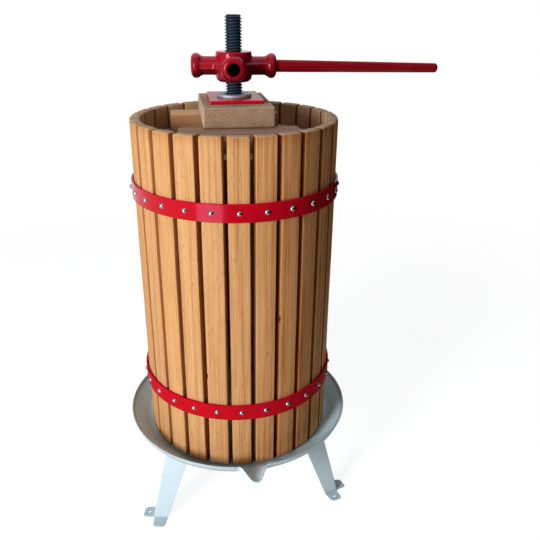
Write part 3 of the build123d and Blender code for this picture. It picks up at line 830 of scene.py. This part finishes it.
def shaded_leg_edges_and_feet(paint, body):
    """Painted shade along the sharp edges of folded sheet, and near the ground where its feet stand."""
    rounded = paint.add("ShaderNodeBevel", samples=EDGE_SHADE_SAMPLES)
    paint.feed(rounded, "Radius", EDGE_SHADE_REACH)
    flat = paint.add("ShaderNodeNewGeometry")
    alike = paint.add("ShaderNodeVectorMath", operation="DOT_PRODUCT")
    paint.feed(alike, 0, rounded.outputs["Normal"])
    paint.feed(alike, 1, flat.outputs["Normal"])
    edge = paint.ranged(alike.outputs["Value"], 0.80, 0.99, EDGE_SHADE_SHARE, 0.0)
    near_ground_shade = paint.ranged(paint.parts(paint.place)[2], FOOT_SHADE_Z / 2, FOOT_SHADE_Z, FOOT_SHADE_SHARE, 0.0)
    return paint.mixed(paint.sums("MAXIMUM", edge, near_ground_shade), body, LEG_SHADE)


def shaded_casting_underside(paint, body):
    """Painted shade on the casting: what faces down is darker."""
    underside = paint.ranged(paint.parts(paint.facing)[2], CASTING_UNDERSIDE_SHADE_FULL, CASTING_UNDERSIDE_SHADE_NONE, CASTING_UNDERSIDE_SHADE_SHARE, 0.0)
    return paint.mixed(underside, body, CASTING_UNDERSIDE_SHADE)


# the darkened edges are painted shade
print("wear on edges reaches", 1000 * EDGE_SHADE_REACH, "mm")

# %% [markdown]
# ## Paint
# Hoops and plate are bright gloss red, the nut and lever a deeper red, brushed on over iron;
# tray and legs have a pale blue-grey enamel.
# Sprayed paint is never quite flat: a weak relief of a few millimetres breaks up reflections.
# Juice and washing have dulled the lower hoop: clear gloss would still turn pale at its ends,
# but a small metallic share mirrors in the paint's own red, so that hoop gets this instead.

# %% Mix the paints
COAT_SIZE, DUST_SIZE = 38.0, 900.0
ROUGH_SPREAD = 0.10
PEEL_DEPTH = 0.0004
RED_GLOSS = (0.55, 0.27, 0.48)
CAST_GLOSS = (0.90, 0.78, 1.0)


def paint_finish(
    name, colour, shade, rough, peel_size, peel, specular, gloss=WHITE, metallic=0.0, wear_and_shade=None
):
    """Gloss paint with a slightly uneven coat, a fine orange-peel relief and a tinted gloss."""
    paint = Recipe(name)
    coat = paint.cloud(paint.place, COAT_SIZE, detail=3.0)
    dust = paint.cloud(paint.place, DUST_SIZE, detail=2.0)
    body = paint.mixed(paint.ranged(coat, 0.30, 0.70, 0.0, 0.8), colour, shade)
    body = paint.mixed(paint.ranged(dust, 0.62, 0.80, 0.0, 0.25), body, shade)
    if wear_and_shade is not None:
        body = wear_and_shade(paint, body)
    uneven = paint.ranged(coat, 0.25, 0.75, rough, rough + ROUGH_SPREAD)
    paint.surface(body, uneven, specular, metallic)
    paint.feed(paint.skin, "Specular Tint", (*gloss, 1.0))
    paint.relief(paint.cloud(paint.place, peel_size, detail=1.0), peel, PEEL_DEPTH)
    return paint.material


hoop_red = paint_finish(
    "hoop_red", (0.520, 0.0026, 0.0125), (0.450, 0.0021, 0.0100),
    rough=0.07, peel_size=260.0, peel=0.05, specular=0.26, gloss=RED_GLOSS,
)
low_hoop_red = paint_finish(
    "low_hoop_red", (0.580, 0.0060, 0.0175), (0.500, 0.0048, 0.0140),
    rough=0.16, peel_size=260.0, peel=0.05, specular=0.0, metallic=0.06,
)
plate_red = paint_finish(
    "plate_red", (0.580, 0.0038, 0.0165), (0.520, 0.0030, 0.0130),
    rough=0.08, peel_size=260.0, peel=0.02, specular=0.035,
)
cast_red = paint_finish(
    "cast_red", (0.360, 0.0023, 0.0110), (0.265, 0.0016, 0.0079),
    rough=0.05, peel_size=330.0, peel=0.08, specular=0.16, gloss=CAST_GLOSS, metallic=0.03,
    # the casting gets painted shade on the faces that look down
    wear_and_shade=shaded_casting_underside,
)
lever_red = paint_finish(
    "lever_red", (0.240, 0.0026, 0.0080), (0.195, 0.0020, 0.0062),
    rough=0.22, peel_size=330.0, peel=0.14, specular=0.06,
)
tray_grey = paint_finish(
    "tray_grey", (0.670, 0.905, 1.000), (0.630, 0.870, 0.995),
    rough=0.28, peel_size=420.0, peel=0.06, specular=0.60, wear_and_shade=worn_and_shaded_tray,
)
leg_pale = paint_finish(
    "leg_pale", (0.650, 0.800, 0.865), (0.615, 0.765, 0.830),
    rough=0.36, peel_size=420.0, peel=0.06, specular=0.25, wear_and_shade=shaded_leg_edges_and_feet,
)
print("reds:", hoop_red.name, low_hoop_red.name, plate_red.name, cast_red.name, lever_red.name)
print("pale paints:", tray_grey.name, leg_pale.name)

# %% [markdown]
# ## Metal
# The screw is blackened steel, bolts and washers are dull zinc, and the rivets a brighter zinc.
# The thread would show little from a distance in one even black, so painted shade darkens its roots
# and leaves the crests, and the distance from the axis tells one from the other.
# Below the pressing boards, inside the basket, painted shade covers all of it.

# %% Mix the metals
ROOT, CREST = 0.0098, 0.0120
# Painted shade on the screw: in the thread's roots and inside the basket below the boards
SCREW_SHADE = (0.003, 0.004, 0.005)
SCREW_SHADE_ROUGH = 0.45
SCREW_SHADE_FADE = 0.02
ROOT_SHADE_SHARE = 0.85
BOARDS_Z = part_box("press_board_left")[0].z
MOTTLE_SIZE = 160.0
MARK_ROUGH, MARK_RELIEF = 0.16, 0.25
TURNED_MARKS = (90.0, 90.0, 1500.0)
PLATED_MARKS = (700.0, 700.0, 700.0)
CAST_MARKS = (400.0, 400.0, 400.0)


def metal_finish(name, colour, shade, metallic, rough, marks, depth, specular=0.5, threaded=False):
    """Bare or plated steel with a mottled tone and fine marks; a thread gets painted shade in its roots and
    below the boards.
    """
    steel = Recipe(name)
    mottle = steel.cloud(steel.place, MOTTLE_SIZE, detail=3.0, rough=0.6)
    tool_marks = steel.streaks(steel.place, marks, 2.0)
    body = steel.mixed(steel.ranged(mottle, 0.30, 0.70), colour, shade)
    dullness = steel.ranged(tool_marks, 0.2, 0.8, rough, rough + MARK_ROUGH)
    if threaded:
        x, y, z = steel.parts(steel.place)
        in_root = steel.ranged(steel.distance(x, y), ROOT, CREST, ROOT_SHADE_SHARE, 0.0)
        inside_basket = steel.ranged(z, BOARDS_Z - SCREW_SHADE_FADE, BOARDS_Z, 1.0, 0.0)
        # painted shade in the roots and below the boards
        painted_shade = steel.sums("MAXIMUM", in_root, inside_basket)
        body = steel.mixed(painted_shade, body, SCREW_SHADE)
        dullness = steel.nudged(dullness, painted_shade, SCREW_SHADE_ROUGH)
    steel.surface(body, dullness, specular, metallic)
    steel.relief(tool_marks, MARK_RELIEF, depth)
    return steel.material


screw_black = metal_finish(
    "screw_black", (0.026, 0.060, 0.104), (0.016, 0.039, 0.072),
    metallic=0.0, rough=0.30, marks=TURNED_MARKS, depth=0.0001, specular=0.14, threaded=True,
)
zinc = metal_finish(
    "zinc", (0.430, 0.475, 0.530), (0.320, 0.360, 0.405),
    metallic=1.0, rough=0.58, marks=PLATED_MARKS, depth=0.00006,
)
rivet_zinc = metal_finish(
    "rivet_zinc", (0.260, 0.300, 0.330), (0.190, 0.225, 0.250),
    metallic=1.0, rough=0.14, marks=PLATED_MARKS, depth=0.00006,
)
# Near black: bare iron with painted shade deep in the bore and the sockets
bore_shade = metal_finish(
    "bore_shade", (0.012, 0.010, 0.014), (0.006, 0.005, 0.008),
    metallic=0.0, rough=0.55, marks=CAST_MARKS, depth=0.0001, specular=0.05,
)
print("metals:", screw_black.name, zinc.name, rivet_zinc.name, bore_shade.name)

# %% [markdown]
# ## Dress the solid pieces
# Most solids already have the right shape and only need a finish. A list of name starts is
# easier to read than fifty assignments, and the print shows at once if a piece was missed.
# The first row that fits a name counts, so the narrower starts come first.

# %% Give every solid its finish
FINISHES = [
    ("stave_", beech, "beech"),
    ("hoop_rivets_", rivet_zinc, "zinc"),
    ("hoop_lower", low_hoop_red, "red_paint"),
    ("hoop_", hoop_red, "red_paint"),
    ("pressure_plate", plate_red, "red_paint"),
    ("press_nut", cast_red, "deep_red_paint"),
    ("lever", lever_red, "deep_red_paint"),
    ("juice_tray", tray_grey, "grey_enamel"),
    ("leg_bolts", zinc, "zinc"),
    ("leg_nuts", zinc, "zinc"),
    ("leg_", leg_pale, "pale_paint"),
    ("spindle_backing_plate", leg_pale, "pale_paint"),
    ("spindle_", zinc, "zinc"),
    ("spindle", screw_black, "black_steel"),
    ("top_block", block_timber, "block_timber"),
    ("cross_bar_front", front_bar_timber, "block_timber"),
    ("cross_bar_", bar_timber, "block_timber"),
    ("press_board_", board_timber, "block_timber"),
    ("thrust_washer", zinc, "zinc"),
]


def dress(thing, finish):
    """Give a piece one finish all over."""
    thing.data.materials.clear()
    thing.data.materials.append(finish)


bare = []
for name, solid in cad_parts.items():
    match = next((row for row in FINISHES if name.startswith(row[0])), None)
    if match is None:
        bare.append(name)
        continue
    dress(solid, match[1])
print("solids without a finish:", bare)

# %% [markdown]
# ## Helpers for shapes
# The pieces that need more than a finish are built with bmesh, Blender's own mesh editor for scripts.
# Nearly all of them are rings of points, one after another, with faces between, so one helper
# makes the faces and another puts the finished shape into the scene.

# %% Define the shape helpers
import bmesh


def skin_rings(shape, rings, ends=True):
    """Faces from each ring of points to the next, with flat faces over both ends."""
    count = len(rings[0])
    for one, other in zip(rings, rings[1:]):
        for k in range(count):
            n = (k + 1) % count
            shape.faces.new((one[k], one[n], other[n], other[k]))
    if ends:
        shape.faces.new(list(reversed(rings[0])))
        shape.faces.new(rings[-1])


def smooth_shading(mesh, sharp_deg):
    """Smooth shading, except along edges sharper than an angle."""
    mesh.polygons.foreach_set("use_smooth", [True] * len(mesh.polygons))
    mesh.set_sharp_from_angle(angle=math.radians(sharp_deg))


def into_scene(name, shape, sharp_deg=38.0):
    """Put a finished shape into the scene."""
    mesh = bpy.data.meshes.new(name)
    bmesh.ops.recalc_face_normals(shape, faces=shape.faces)
    shape.to_mesh(mesh)
    shape.free()
    smooth_shading(mesh, sharp_deg)
    thing = bpy.data.objects.new(name, mesh)
    scene.collection.objects.link(thing)
    return thing


print("shape helpers ready")

# %% [markdown]
# ## The staves
# Each stave is a planed board with eased edges, worn a little wavy and chipped by years of use.
# The solid boards are dead straight, which shows at once along the narrow gaps.
# Sculpting 26 boards by hand would be slow, so one outline is swept up each board, and a smooth
# noise that only ever takes wood away moves every side by a fraction of a millimetre.

# %% Draw the outline of a stave
from mathutils import noise

BOARD_WIDE, BOARD_THICK = 0.030, 0.015
BOARD_FACE = 0.1508
EDGE_ROUND = 0.0015
CORNER_STEPS = 4
CORNERS = [(1, 1), (-1, 1), (-1, -1), (1, -1)]
WAVE = 0.0005
WAVE_LENGTH = 0.070
SEED_STEP, SIDE_STEP = 7.3, 3.1
SWOLLEN = {13: 0.0006, 25: 0.0006}
CHIPS = [
    # stave, height, side of the board, depth, half length
    (2, 0.391, 1.0, 0.0022, 0.006),
    (4, 0.466, -1.0, 0.0016, 0.004),
    (25, 0.302, 1.0, 0.0014, 0.005),
    (15, 0.520, -1.0, 0.0020, 0.006),
    (18, 0.205, 1.0, 0.0018, 0.005),
]


def worn(seed, side, height):
    """How much wood is gone from one side of a board at a height, from 0 up."""
    place = Vector((seed * SEED_STEP, side * SIDE_STEP, height / WAVE_LENGTH))
    return WAVE * (0.5 + 0.5 * noise.noise(place))


def chipped(number, height, side):
    """How deep the chips go on one side of a board at a height."""
    return sum(
        depth * max(0.0, 1.0 - ((height - z) / half)**2)
        for who, z, where, depth, half in CHIPS if who == number and where == side
    )


def board_outline(number, height, drawn_in):
    """Rounded rectangle of one board at one height, as (across, out) from the screw."""
    right = BOARD_WIDE / 2 - worn(number, 1, height) - drawn_in - chipped(number, height, 1.0)
    left = -BOARD_WIDE / 2 + worn(number, 2, height) + drawn_in + chipped(number, height, -1.0)
    left -= SWOLLEN.get(number, 0.0)
    front = BOARD_FACE - worn(number, 3, height) - drawn_in
    back = BOARD_FACE - BOARD_THICK + drawn_in
    points = []
    for quarter, corner in enumerate(CORNERS):
        x = right if corner[0] > 0 else left
        y = front if corner[1] > 0 else back
        inner = Vector((x, y)) - EDGE_ROUND * Vector(corner)
        for k in range(CORNER_STEPS + 1):
            angle = math.pi / 2 * (quarter + k / CORNER_STEPS)
            points.append(inner + EDGE_ROUND * Vector((math.cos(angle), math.sin(angle))))
    return points


print("outline of a board:", len(board_outline(1, HEAD_Z / 2, 0.0)), "points")

# %% Plane the staves
TOP_ROUND, FOOT_ROUND = 0.0024, 0.0012
TOP_STEPS, FOOT_STEPS = 4, 3
BOARD_ROWS = 44
CHIP_ROWS = (-1.0, -0.8, -0.4, 0.0, 0.4, 0.8, 1.0)
BOARD_SHARP = 45.0


def eased(from_end, radius):
    """How far the outline draws in near a rounded end."""
    if from_end >= radius:
        return 0.0
    return radius - math.sqrt(radius**2 - (radius - from_end)**2)


def row_heights(number, low, high):
    """Heights of a board's rows: close together at both ends and round each chip."""
    bend = math.pi / 2
    rows = [low + FOOT_ROUND * (1 - math.cos(bend * k / FOOT_STEPS)) for k in range(FOOT_STEPS + 1)]
    start, span = rows[-1], high - TOP_ROUND - rows[-1]
    rows += [start + span * k / BOARD_ROWS for k in range(1, BOARD_ROWS + 1)]
    rows += [high - TOP_ROUND * (1 - math.sin(bend * k / TOP_STEPS)) for k in range(1, TOP_STEPS + 1)]
    for who, z, _, _, half in CHIPS:
        if who == number:
            rows += [z + half * t for t in CHIP_ROWS]
    return sorted(rows)


def plane_stave(number):
    """One board of the basket, in the place of its solid."""
    low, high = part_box(f"stave_{number:02d}")
    middle = (low + high) / 2
    spin = Matrix.Rotation(math.atan2(middle.y, middle.x) - math.pi / 2, 3, "Z")
    shape = bmesh.new()
    rows = []
    for height in row_heights(number, low.z, high.z):
        drawn_in = max(eased(height - low.z, FOOT_ROUND), eased(high.z - height, TOP_ROUND))
        outline = board_outline(number, height, drawn_in)
        rows.append([shape.verts.new(spin @ Vector((p.x, p.y, height))) for p in outline])
    skin_rings(shape, rows)
    return into_scene(f"beech_stave_{number:02d}", shape, BOARD_SHARP)


for number in range(1, STAVES + 1):
    board = plane_stave(number)
    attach(board, "basket")
    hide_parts(f"stave_{number:02d}")
    dress(board, beech)
print("staves:", STAVES, "boards of", len(board.data.polygons), "faces")

# %% [markdown]
# ## Eased edges
# Folded sheet and sawn wood never have knife edges, and a rounded edge catches a thin line of light.
# Remodelling these pieces for that is not worth it: a Bevel modifier rounds the solid's own edges.

# %% Round the edges of the stack and the legs
EDGES = {"top_block": 0.0009, "leg_front_left": 0.0005, "leg_front_right": 0.0005, "leg_rear": 0.0005}
EDGE_SEGMENTS = 2
EDGE_ANGLE = math.radians(50.0)

for name, radius in EDGES.items():
    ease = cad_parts[name].modifiers.new("eased_edges", "BEVEL")
    ease.width = radius
    ease.segments = EDGE_SEGMENTS
    ease.limit_method = "ANGLE"
    ease.angle_limit = EDGE_ANGLE
    ease.use_clamp_overlap = False
    print("eased", name, "by", 1000 * radius, "mm")

# %% [markdown]
# ## The screw
# A real thread climbs as it goes round; the solid model only has plain rings.
# Blender's Screw modifier could sweep it, but its ends stay ragged, so the strip is built here:
# one thread outline is repeated round the helix, then both ends are cut flat and closed.

# %% Wind the thread
PITCH = 0.004
THREAD_STEPS = 48
THREAD_LOW = 0.474
SPARE_BELOW, SPARE_TURNS = 2, 3
SCREW_FOOT, SCREW_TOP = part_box("spindle")[0].z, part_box("spindle")[1].z
TIP = ROOT - 0.0008
TIP_SLOPE = 1.1
EASED = 0.00035
THREAD_OUTLINE = [
    # share of the pitch, radius
    (0.00, ROOT), (0.19, CREST - EASED), (0.26, CREST),
    (0.44, CREST), (0.51, CREST - EASED), (0.70, ROOT),
]


def wind_thread(shape):
    """A strip with the thread's outline, wound up the screw and tapered at the top."""
    turns = math.ceil((SCREW_TOP - THREAD_LOW) / PITCH) + SPARE_TURNS
    count = turns * THREAD_STEPS
    rows = []
    for step in range(count + 1):
        angle = math.tau * step / THREAD_STEPS
        row = []
        for share, radius in THREAD_OUTLINE:
            height = THREAD_LOW + PITCH * (step / THREAD_STEPS + share - SPARE_BELOW)
            radius = min(radius, TIP + TIP_SLOPE * max(0.0, SCREW_TOP - height))
            row.append(shape.verts.new((radius * math.cos(angle), radius * math.sin(angle), height)))
        rows.append(row)
    last = len(THREAD_OUTLINE) - 1
    for step in range(count):
        one, other = rows[step], rows[step + 1]
        for k in range(last):
            shape.faces.new((one[k], other[k], other[k + 1], one[k + 1]))
        if step + 1 + THREAD_STEPS <= count:
            above, beyond = rows[step + THREAD_STEPS][0], rows[step + 1 + THREAD_STEPS][0]
            shape.faces.new((one[last], other[last], beyond, above))
    return turns


print("screw stands from", round(SCREW_FOOT, 4), "to", round(SCREW_TOP, 4))

# %% Cut the screw to length
SHANK = 0.0119
CUT_BELOW_TOP = 0.0002
CUT_EXACT, CUT_NEAR = 1e-7, 1e-6
SORT_ALONG = Vector((0.31, 0.47, 0.83))
TOP_RINGS = [(ROOT - 0.0011, SCREW_TOP), (ROOT - 0.004, SCREW_TOP)]
FOOT_RINGS = [
    (ROOT, THREAD_LOW - 0.0009), (SHANK, THREAD_LOW - 0.003),
    (SHANK, SCREW_FOOT + 0.0015), (SHANK - 0.0015, SCREW_FOOT),
]


def cut_flat(shape, height, keep_above):
    """Cut a shape at one height and return the open edge that is left there."""
    everything = shape.verts[:] + shape.edges[:] + shape.faces[:]
    bmesh.ops.bisect_plane(
        shape, geom=everything, dist=CUT_EXACT, plane_co=(0, 0, height), plane_no=(0, 0, 1),
        clear_inner=keep_above, clear_outer=not keep_above,
    )
    return [
        edge for edge in shape.edges
        if edge.is_boundary and all(abs(v.co.z - height) < CUT_NEAR for v in edge.verts)
    ]


def carry_on(shape, edge_loop, rings):
    """Carry an open round edge on through rings of (radius, height) and close the end."""
    for radius, height in rings:
        grown = bmesh.ops.extrude_edge_only(shape, edges=edge_loop)["geom"]
        edge_loop = [g for g in grown if isinstance(g, bmesh.types.BMEdge)]
        for vert in {v for e in edge_loop for v in e.verts}:
            flat = Vector((vert.co.x, vert.co.y, 0.0)).normalized() * radius
            vert.co = (flat.x, flat.y, height)
    bmesh.ops.contextual_create(shape, geom=edge_loop)


def cut_screw():
    """The threaded spindle: helix above, plain shank below."""
    shape = bmesh.new()
    turns = wind_thread(shape)
    carry_on(shape, cut_flat(shape, SCREW_TOP - CUT_BELOW_TOP, keep_above=False), TOP_RINGS)
    carry_on(shape, cut_flat(shape, THREAD_LOW, keep_above=True), FOOT_RINGS)
    # Extruding makes its faces in another order each run; sorted by place, they are always the same
    shape.faces.sort(key=lambda face: face.calc_center_median().dot(SORT_ALONG))
    print("thread wound", turns, "turns")
    return into_scene("screw", shape)


screw = cut_screw()
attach(screw, "base")
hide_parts("spindle")
dress(screw, screw_black)
print("screw:", len(screw.data.polygons), "faces")

# %% [markdown]
# ## The cast nut
# The nut is an iron casting: a hub with four socketed arms, webs between them and no hard edges.
# Bevels on every join would be endless, so it is made as a founder would: rough pieces are
# joined, a Remesh modifier melts them into one skin and a Smooth modifier rounds the corners.
# Then the bore and sockets are drilled with a Boolean, and stay crisp as drilled holes are.

# %% Join the rough pieces of the nut
NUT_TURN = math.radians(-8.6)
NUT_LOW, NUT_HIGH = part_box("press_nut")[0].z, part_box("press_nut")[1].z
ARMS = 4
ARM_Z = 0.7255
ARM_END = 0.060
ROUND_STEPS = 72
WEB_HALF = 0.0042
WEB_RADIUS = 0.0325
UPRIGHT = Matrix.Rotation(-math.pi / 2, 4, "Y")
HUB_OUTLINE = [
    # along the axis, radius
    (NUT_LOW, 0.0212), (NUT_LOW + 0.0035, 0.0252), (NUT_LOW + 0.012, 0.0256),
    (NUT_HIGH - 0.008, 0.0256), (NUT_HIGH - 0.0012, 0.0253), (NUT_HIGH, 0.0240),
]
ARM_OUTLINE = [
    (0.0, 0.0127), (0.0430, 0.0127), (0.0465, 0.0140), (0.0490, 0.0161), (0.0515, 0.0170),
    (0.0545, 0.0170), (0.0570, 0.0160), (0.0588, 0.0142), (0.0598, 0.0124), (ARM_END, 0.0114),
]
WEB_PLAN = [
    # along the arm, to its side
    (0.012, -0.0210), (0.030, -0.0172), (0.050, -0.0146),
    (0.050, 0.0146), (0.030, 0.0172), (0.012, 0.0210),
]


def turned_solid(shape, outline, place):
    """Spin an outline of (along, radius) points about the local X axis into a closed body."""
    angles = [math.tau * k / ROUND_STEPS for k in range(ROUND_STEPS)]
    skin_rings(shape, [
        [
            shape.verts.new(place @ Vector((along, radius * math.cos(a), radius * math.sin(a))))
            for a in angles
        ]
        for along, radius in outline
    ])


def arm_place(quarter):
    """The place of one arm: its axis is level and points out from the screw."""
    level = Matrix.Rotation(NUT_TURN + quarter * math.pi / 2, 4, "Z")
    return Matrix.Translation((0, 0, ARM_Z)) @ level


def rough_casting():
    """Hub, arms and webs as overlapping bodies."""
    rough = bmesh.new()
    web_low, web_high = ARM_Z - WEB_HALF, ARM_Z + WEB_HALF
    turned_solid(rough, HUB_OUTLINE, UPRIGHT)
    turned_solid(rough, [(web_low, WEB_RADIUS), (web_high, WEB_RADIUS)], UPRIGHT)
    for quarter in range(ARMS):
        place = arm_place(quarter)
        turned_solid(rough, ARM_OUTLINE, place)
        plan = [place @ Vector((along, aside, 0)) for along, aside in WEB_PLAN]
        skin_rings(rough, [[rough.verts.new((p.x, p.y, z)) for p in plan] for z in (web_low, web_high)])
    return into_scene("nut_blank", rough)


blank = rough_casting()
print("rough casting:", len(blank.data.polygons), "faces")

# %% Cast and drill the nut
SOCKET = 0.0087
SOCKET_FLOOR = 0.020
BORE = 0.0121
CAST_GRAIN = 0.0008
SOFTEN_SHARE, SOFTEN_TIMES = 0.5, 9
BORE_PAST, SOCKET_PAST = 0.02, 0.01
CAST_SHARP = 50.0


def drill_bits():
    """The bore and the four sockets as solid bodies."""
    bits = bmesh.new()
    turned_solid(bits, [(NUT_LOW - BORE_PAST, BORE), (NUT_HIGH + BORE_PAST, BORE)], UPRIGHT)
    for quarter in range(ARMS):
        socket = [(SOCKET_FLOOR, SOCKET), (ARM_END + SOCKET_PAST, SOCKET)]
        turned_solid(bits, socket, arm_place(quarter))
    return into_scene("nut_drill", bits)


def cast_nut(blank):
    """Melt the rough pieces together, smooth them, then drill."""
    melt = blank.modifiers.new("melt", "REMESH")
    melt.mode = "VOXEL"
    melt.voxel_size = CAST_GRAIN
    soften = blank.modifiers.new("soften", "SMOOTH")
    soften.factor = SOFTEN_SHARE
    soften.iterations = SOFTEN_TIMES
    drill = drill_bits()
    cut = blank.modifiers.new("drill", "BOOLEAN")
    cut.operation = "DIFFERENCE"
    cut.solver = "EXACT"
    cut.object = drill
    depsgraph = bpy.context.evaluated_depsgraph_get()
    mesh = bpy.data.meshes.new_from_object(blank.evaluated_get(depsgraph))
    mesh.name = "cast_nut"
    bpy.data.objects.remove(blank)
    bpy.data.objects.remove(drill)
    smooth_shading(mesh, CAST_SHARP)
    nut = bpy.data.objects.new("cast_nut", mesh)
    scene.collection.objects.link(nut)
    return nut


nut = cast_nut(blank)
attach(nut, "nut")
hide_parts("press_nut")
dress(nut, cast_red)
print("nut:", len(nut.data.polygons), "faces")

# %% [markdown]
# Drilled holes are bare iron, with a near-black finish that paints the shade deep inside them. A second
# finish goes to the faces that the drill made:
# those close to the bore, or inside a socket and a little way in from its painted mouth.

# %% Darken the drilled holes
DRILL_EDGE = 0.0002
SHADE_IN_FROM = 0.002


def drilled(point):
    """True for a point on the wall or floor of the bore or of a socket."""
    if math.hypot(point.x, point.y) < BORE + DRILL_EDGE:
        return True
    for quarter in range(ARMS):
        local = arm_place(quarter).inverted() @ point
        inside = math.hypot(local.y, local.z) < SOCKET + DRILL_EDGE
        if inside and SOCKET_FLOOR - DRILL_EDGE < local.x < ARM_END - SHADE_IN_FROM:
            return True
    return False


nut.data.materials.append(bore_shade)
for face in nut.data.polygons:
    face.material_index = 1 if drilled(face.center) else 0
print("drilled faces:", sum(face.material_index for face in nut.data.polygons))

# %% [markdown]
# ## The lever
# The lever is a plain round bar, drawn thinner towards the hand and rounded over at its end.
# A tapered cylinder would do, but its end would be flat, so a whole outline is spun instead.
# It lies in its socket with a little play and hangs by half a degree, as the photograph shows.

# %% Spin the lever
LEVER_IN, LEVER_OUT = 0.0204, 0.2930
LEVER_ROOT, LEVER_TIP = 0.0083, 0.0064
LEVER_PLAIN = 0.080
LEVER_EASE = 0.0010
NOSE_LONG = 0.0045
NOSE_STEPS = 6
HANG = math.radians(0.5)
HANG_AT = 0.040


def spin_lever():
    """The bar as one turned body, hanging a little about the middle of its socket."""
    outline = [
        (LEVER_IN, LEVER_ROOT - LEVER_EASE), (LEVER_IN + LEVER_EASE, LEVER_ROOT), (LEVER_PLAIN, LEVER_ROOT),
    ]
    for k in range(NOSE_STEPS):
        angle = math.pi / 2 * k / NOSE_STEPS
        outline.append((LEVER_OUT - NOSE_LONG * (1 - math.sin(angle)), LEVER_TIP * math.cos(angle)))
    pivot = Matrix.Translation((HANG_AT, 0, 0))
    place = arm_place(0) @ pivot @ Matrix.Rotation(HANG, 4, "Y") @ pivot.inverted()
    shape = bmesh.new()
    turned_solid(shape, outline, place)
    return into_scene("lever_bar", shape)


lever = spin_lever()
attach(lever, "lever")
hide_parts("lever")
dress(lever, lever_red)
print("lever:", len(lever.data.polygons), "faces")

# %% [markdown]
# ## The juice tray
# The tray is one dished sheet with a rolled rim, drawn out into a pouring lip at the front.
# A flat sheet could be bent by modifiers, but the lip needs a smooth change of section,
# so a section is written for the plain wall and one for the lip, and each angle mixes the two.

# %% Draw the tray's section
TRAY_FLOOR = 0.140
SHEET = 0.002
TRAY_BORE = 0.01195
FLOOR_LINE = [(TRAY_BORE, 0.0), (0.060, 0.0), (0.110, 0.0), (0.140, 0.0), (0.1500, 0.0)]
PLAIN_LINE = FLOOR_LINE + [
    (0.1546, 0.0002), (0.1582, 0.0012), (0.1614, 0.0032),
    (0.1680, 0.0086), (0.1740, 0.0138), (0.1792, 0.0183),
]
LIP_LINE = FLOOR_LINE + [
    (0.1552, 0.0006), (0.1640, 0.0029), (0.1740, 0.0053),
    (0.1850, 0.0078), (0.1960, 0.0103), (0.2050, 0.0124),
]
# Rolled rim: outer radius, top, how far it hangs down outside and draws in there, half its thickness
PLAIN_RIM = (0.1857, 0.0248, 0.0111, 0.0036, 0.0014)
LIP_RIM = (0.2089, 0.0155, 0.0030, 0.0004, 0.0013)
RIM_STEPS = 8


def tray_section(share):
    """Closed outline of the sheet for one mix of wall (0) and lip (1), as (radius, height)."""
    upper = [Vector(a).lerp(Vector(b), share) for a, b in zip(PLAIN_LINE, LIP_LINE)]
    outer, top, hang, draw, half = [a + (b - a) * share for a, b in zip(PLAIN_RIM, LIP_RIM)]
    under = []
    for k, point in enumerate(upper):
        before, after = upper[max(k - 1, 0)], upper[min(k + 1, len(upper) - 1)]
        along = (after - before).normalized()
        under.append(point - SHEET * Vector((-along.y, along.x)))
    over, below = Vector((outer - half, top - half)), Vector((outer - half - draw, top - hang + half))
    angles = [math.pi * k / RIM_STEPS for k in range(RIM_STEPS + 1)]
    rim = [over + half * Vector((-math.cos(a), math.sin(a))) for a in angles]
    rim += [below + half * Vector((math.cos(a), -math.sin(a))) for a in angles]
    inside = outer - 2 * half - draw / 2
    rim.append(Vector((inside, under[-1].y + inside - under[-1].x)))
    return upper + rim + list(reversed(under))


print("section of the tray:", len(tray_section(0.0)), "points")

# %% Sweep the tray
LIP_TURN = math.radians(-1.6)
LIP_NARROW, LIP_WIDE = math.radians(0.5), math.radians(7.0)
LIP_REACH = 1.1
LIP_STEPS, WALL_STEPS = 40, 132
TRAY_SHARP = 50.0


def tray_angles():
    """Angles round the tray from the lip's middle: close together at the lip, wider elsewhere."""
    fine = [LIP_WIDE * LIP_REACH * k / LIP_STEPS for k in range(-LIP_STEPS, LIP_STEPS + 1)]
    span = math.tau - 2 * fine[-1]
    return fine + [fine[-1] + span * k / WALL_STEPS for k in range(1, WALL_STEPS)]


def lip_share(angle):
    """How much of the lip's section there is at an angle, with soft ends."""
    off = abs((angle + math.pi) % math.tau - math.pi)
    near = min(max((LIP_WIDE - off) / (LIP_WIDE - LIP_NARROW), 0.0), 1.0)
    return near * near * (3 - 2 * near)


def draw_tray():
    """Sweep the section round the tray."""
    shape = bmesh.new()
    rings = []
    for angle in tray_angles():
        spin = angle + LIP_TURN - math.pi / 2
        rings.append([
            shape.verts.new((p.x * math.cos(spin), p.x * math.sin(spin), TRAY_FLOOR + p.y))
            for p in tray_section(lip_share(angle))
        ])
    skin_rings(shape, rings + rings[:1], ends=False)
    return into_scene("dished_tray", shape, TRAY_SHARP)


tray = draw_tray()
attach(tray, "base")
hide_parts("juice_tray")
dress(tray, tray_grey)
print("tray:", len(tray.data.polygons), "faces")
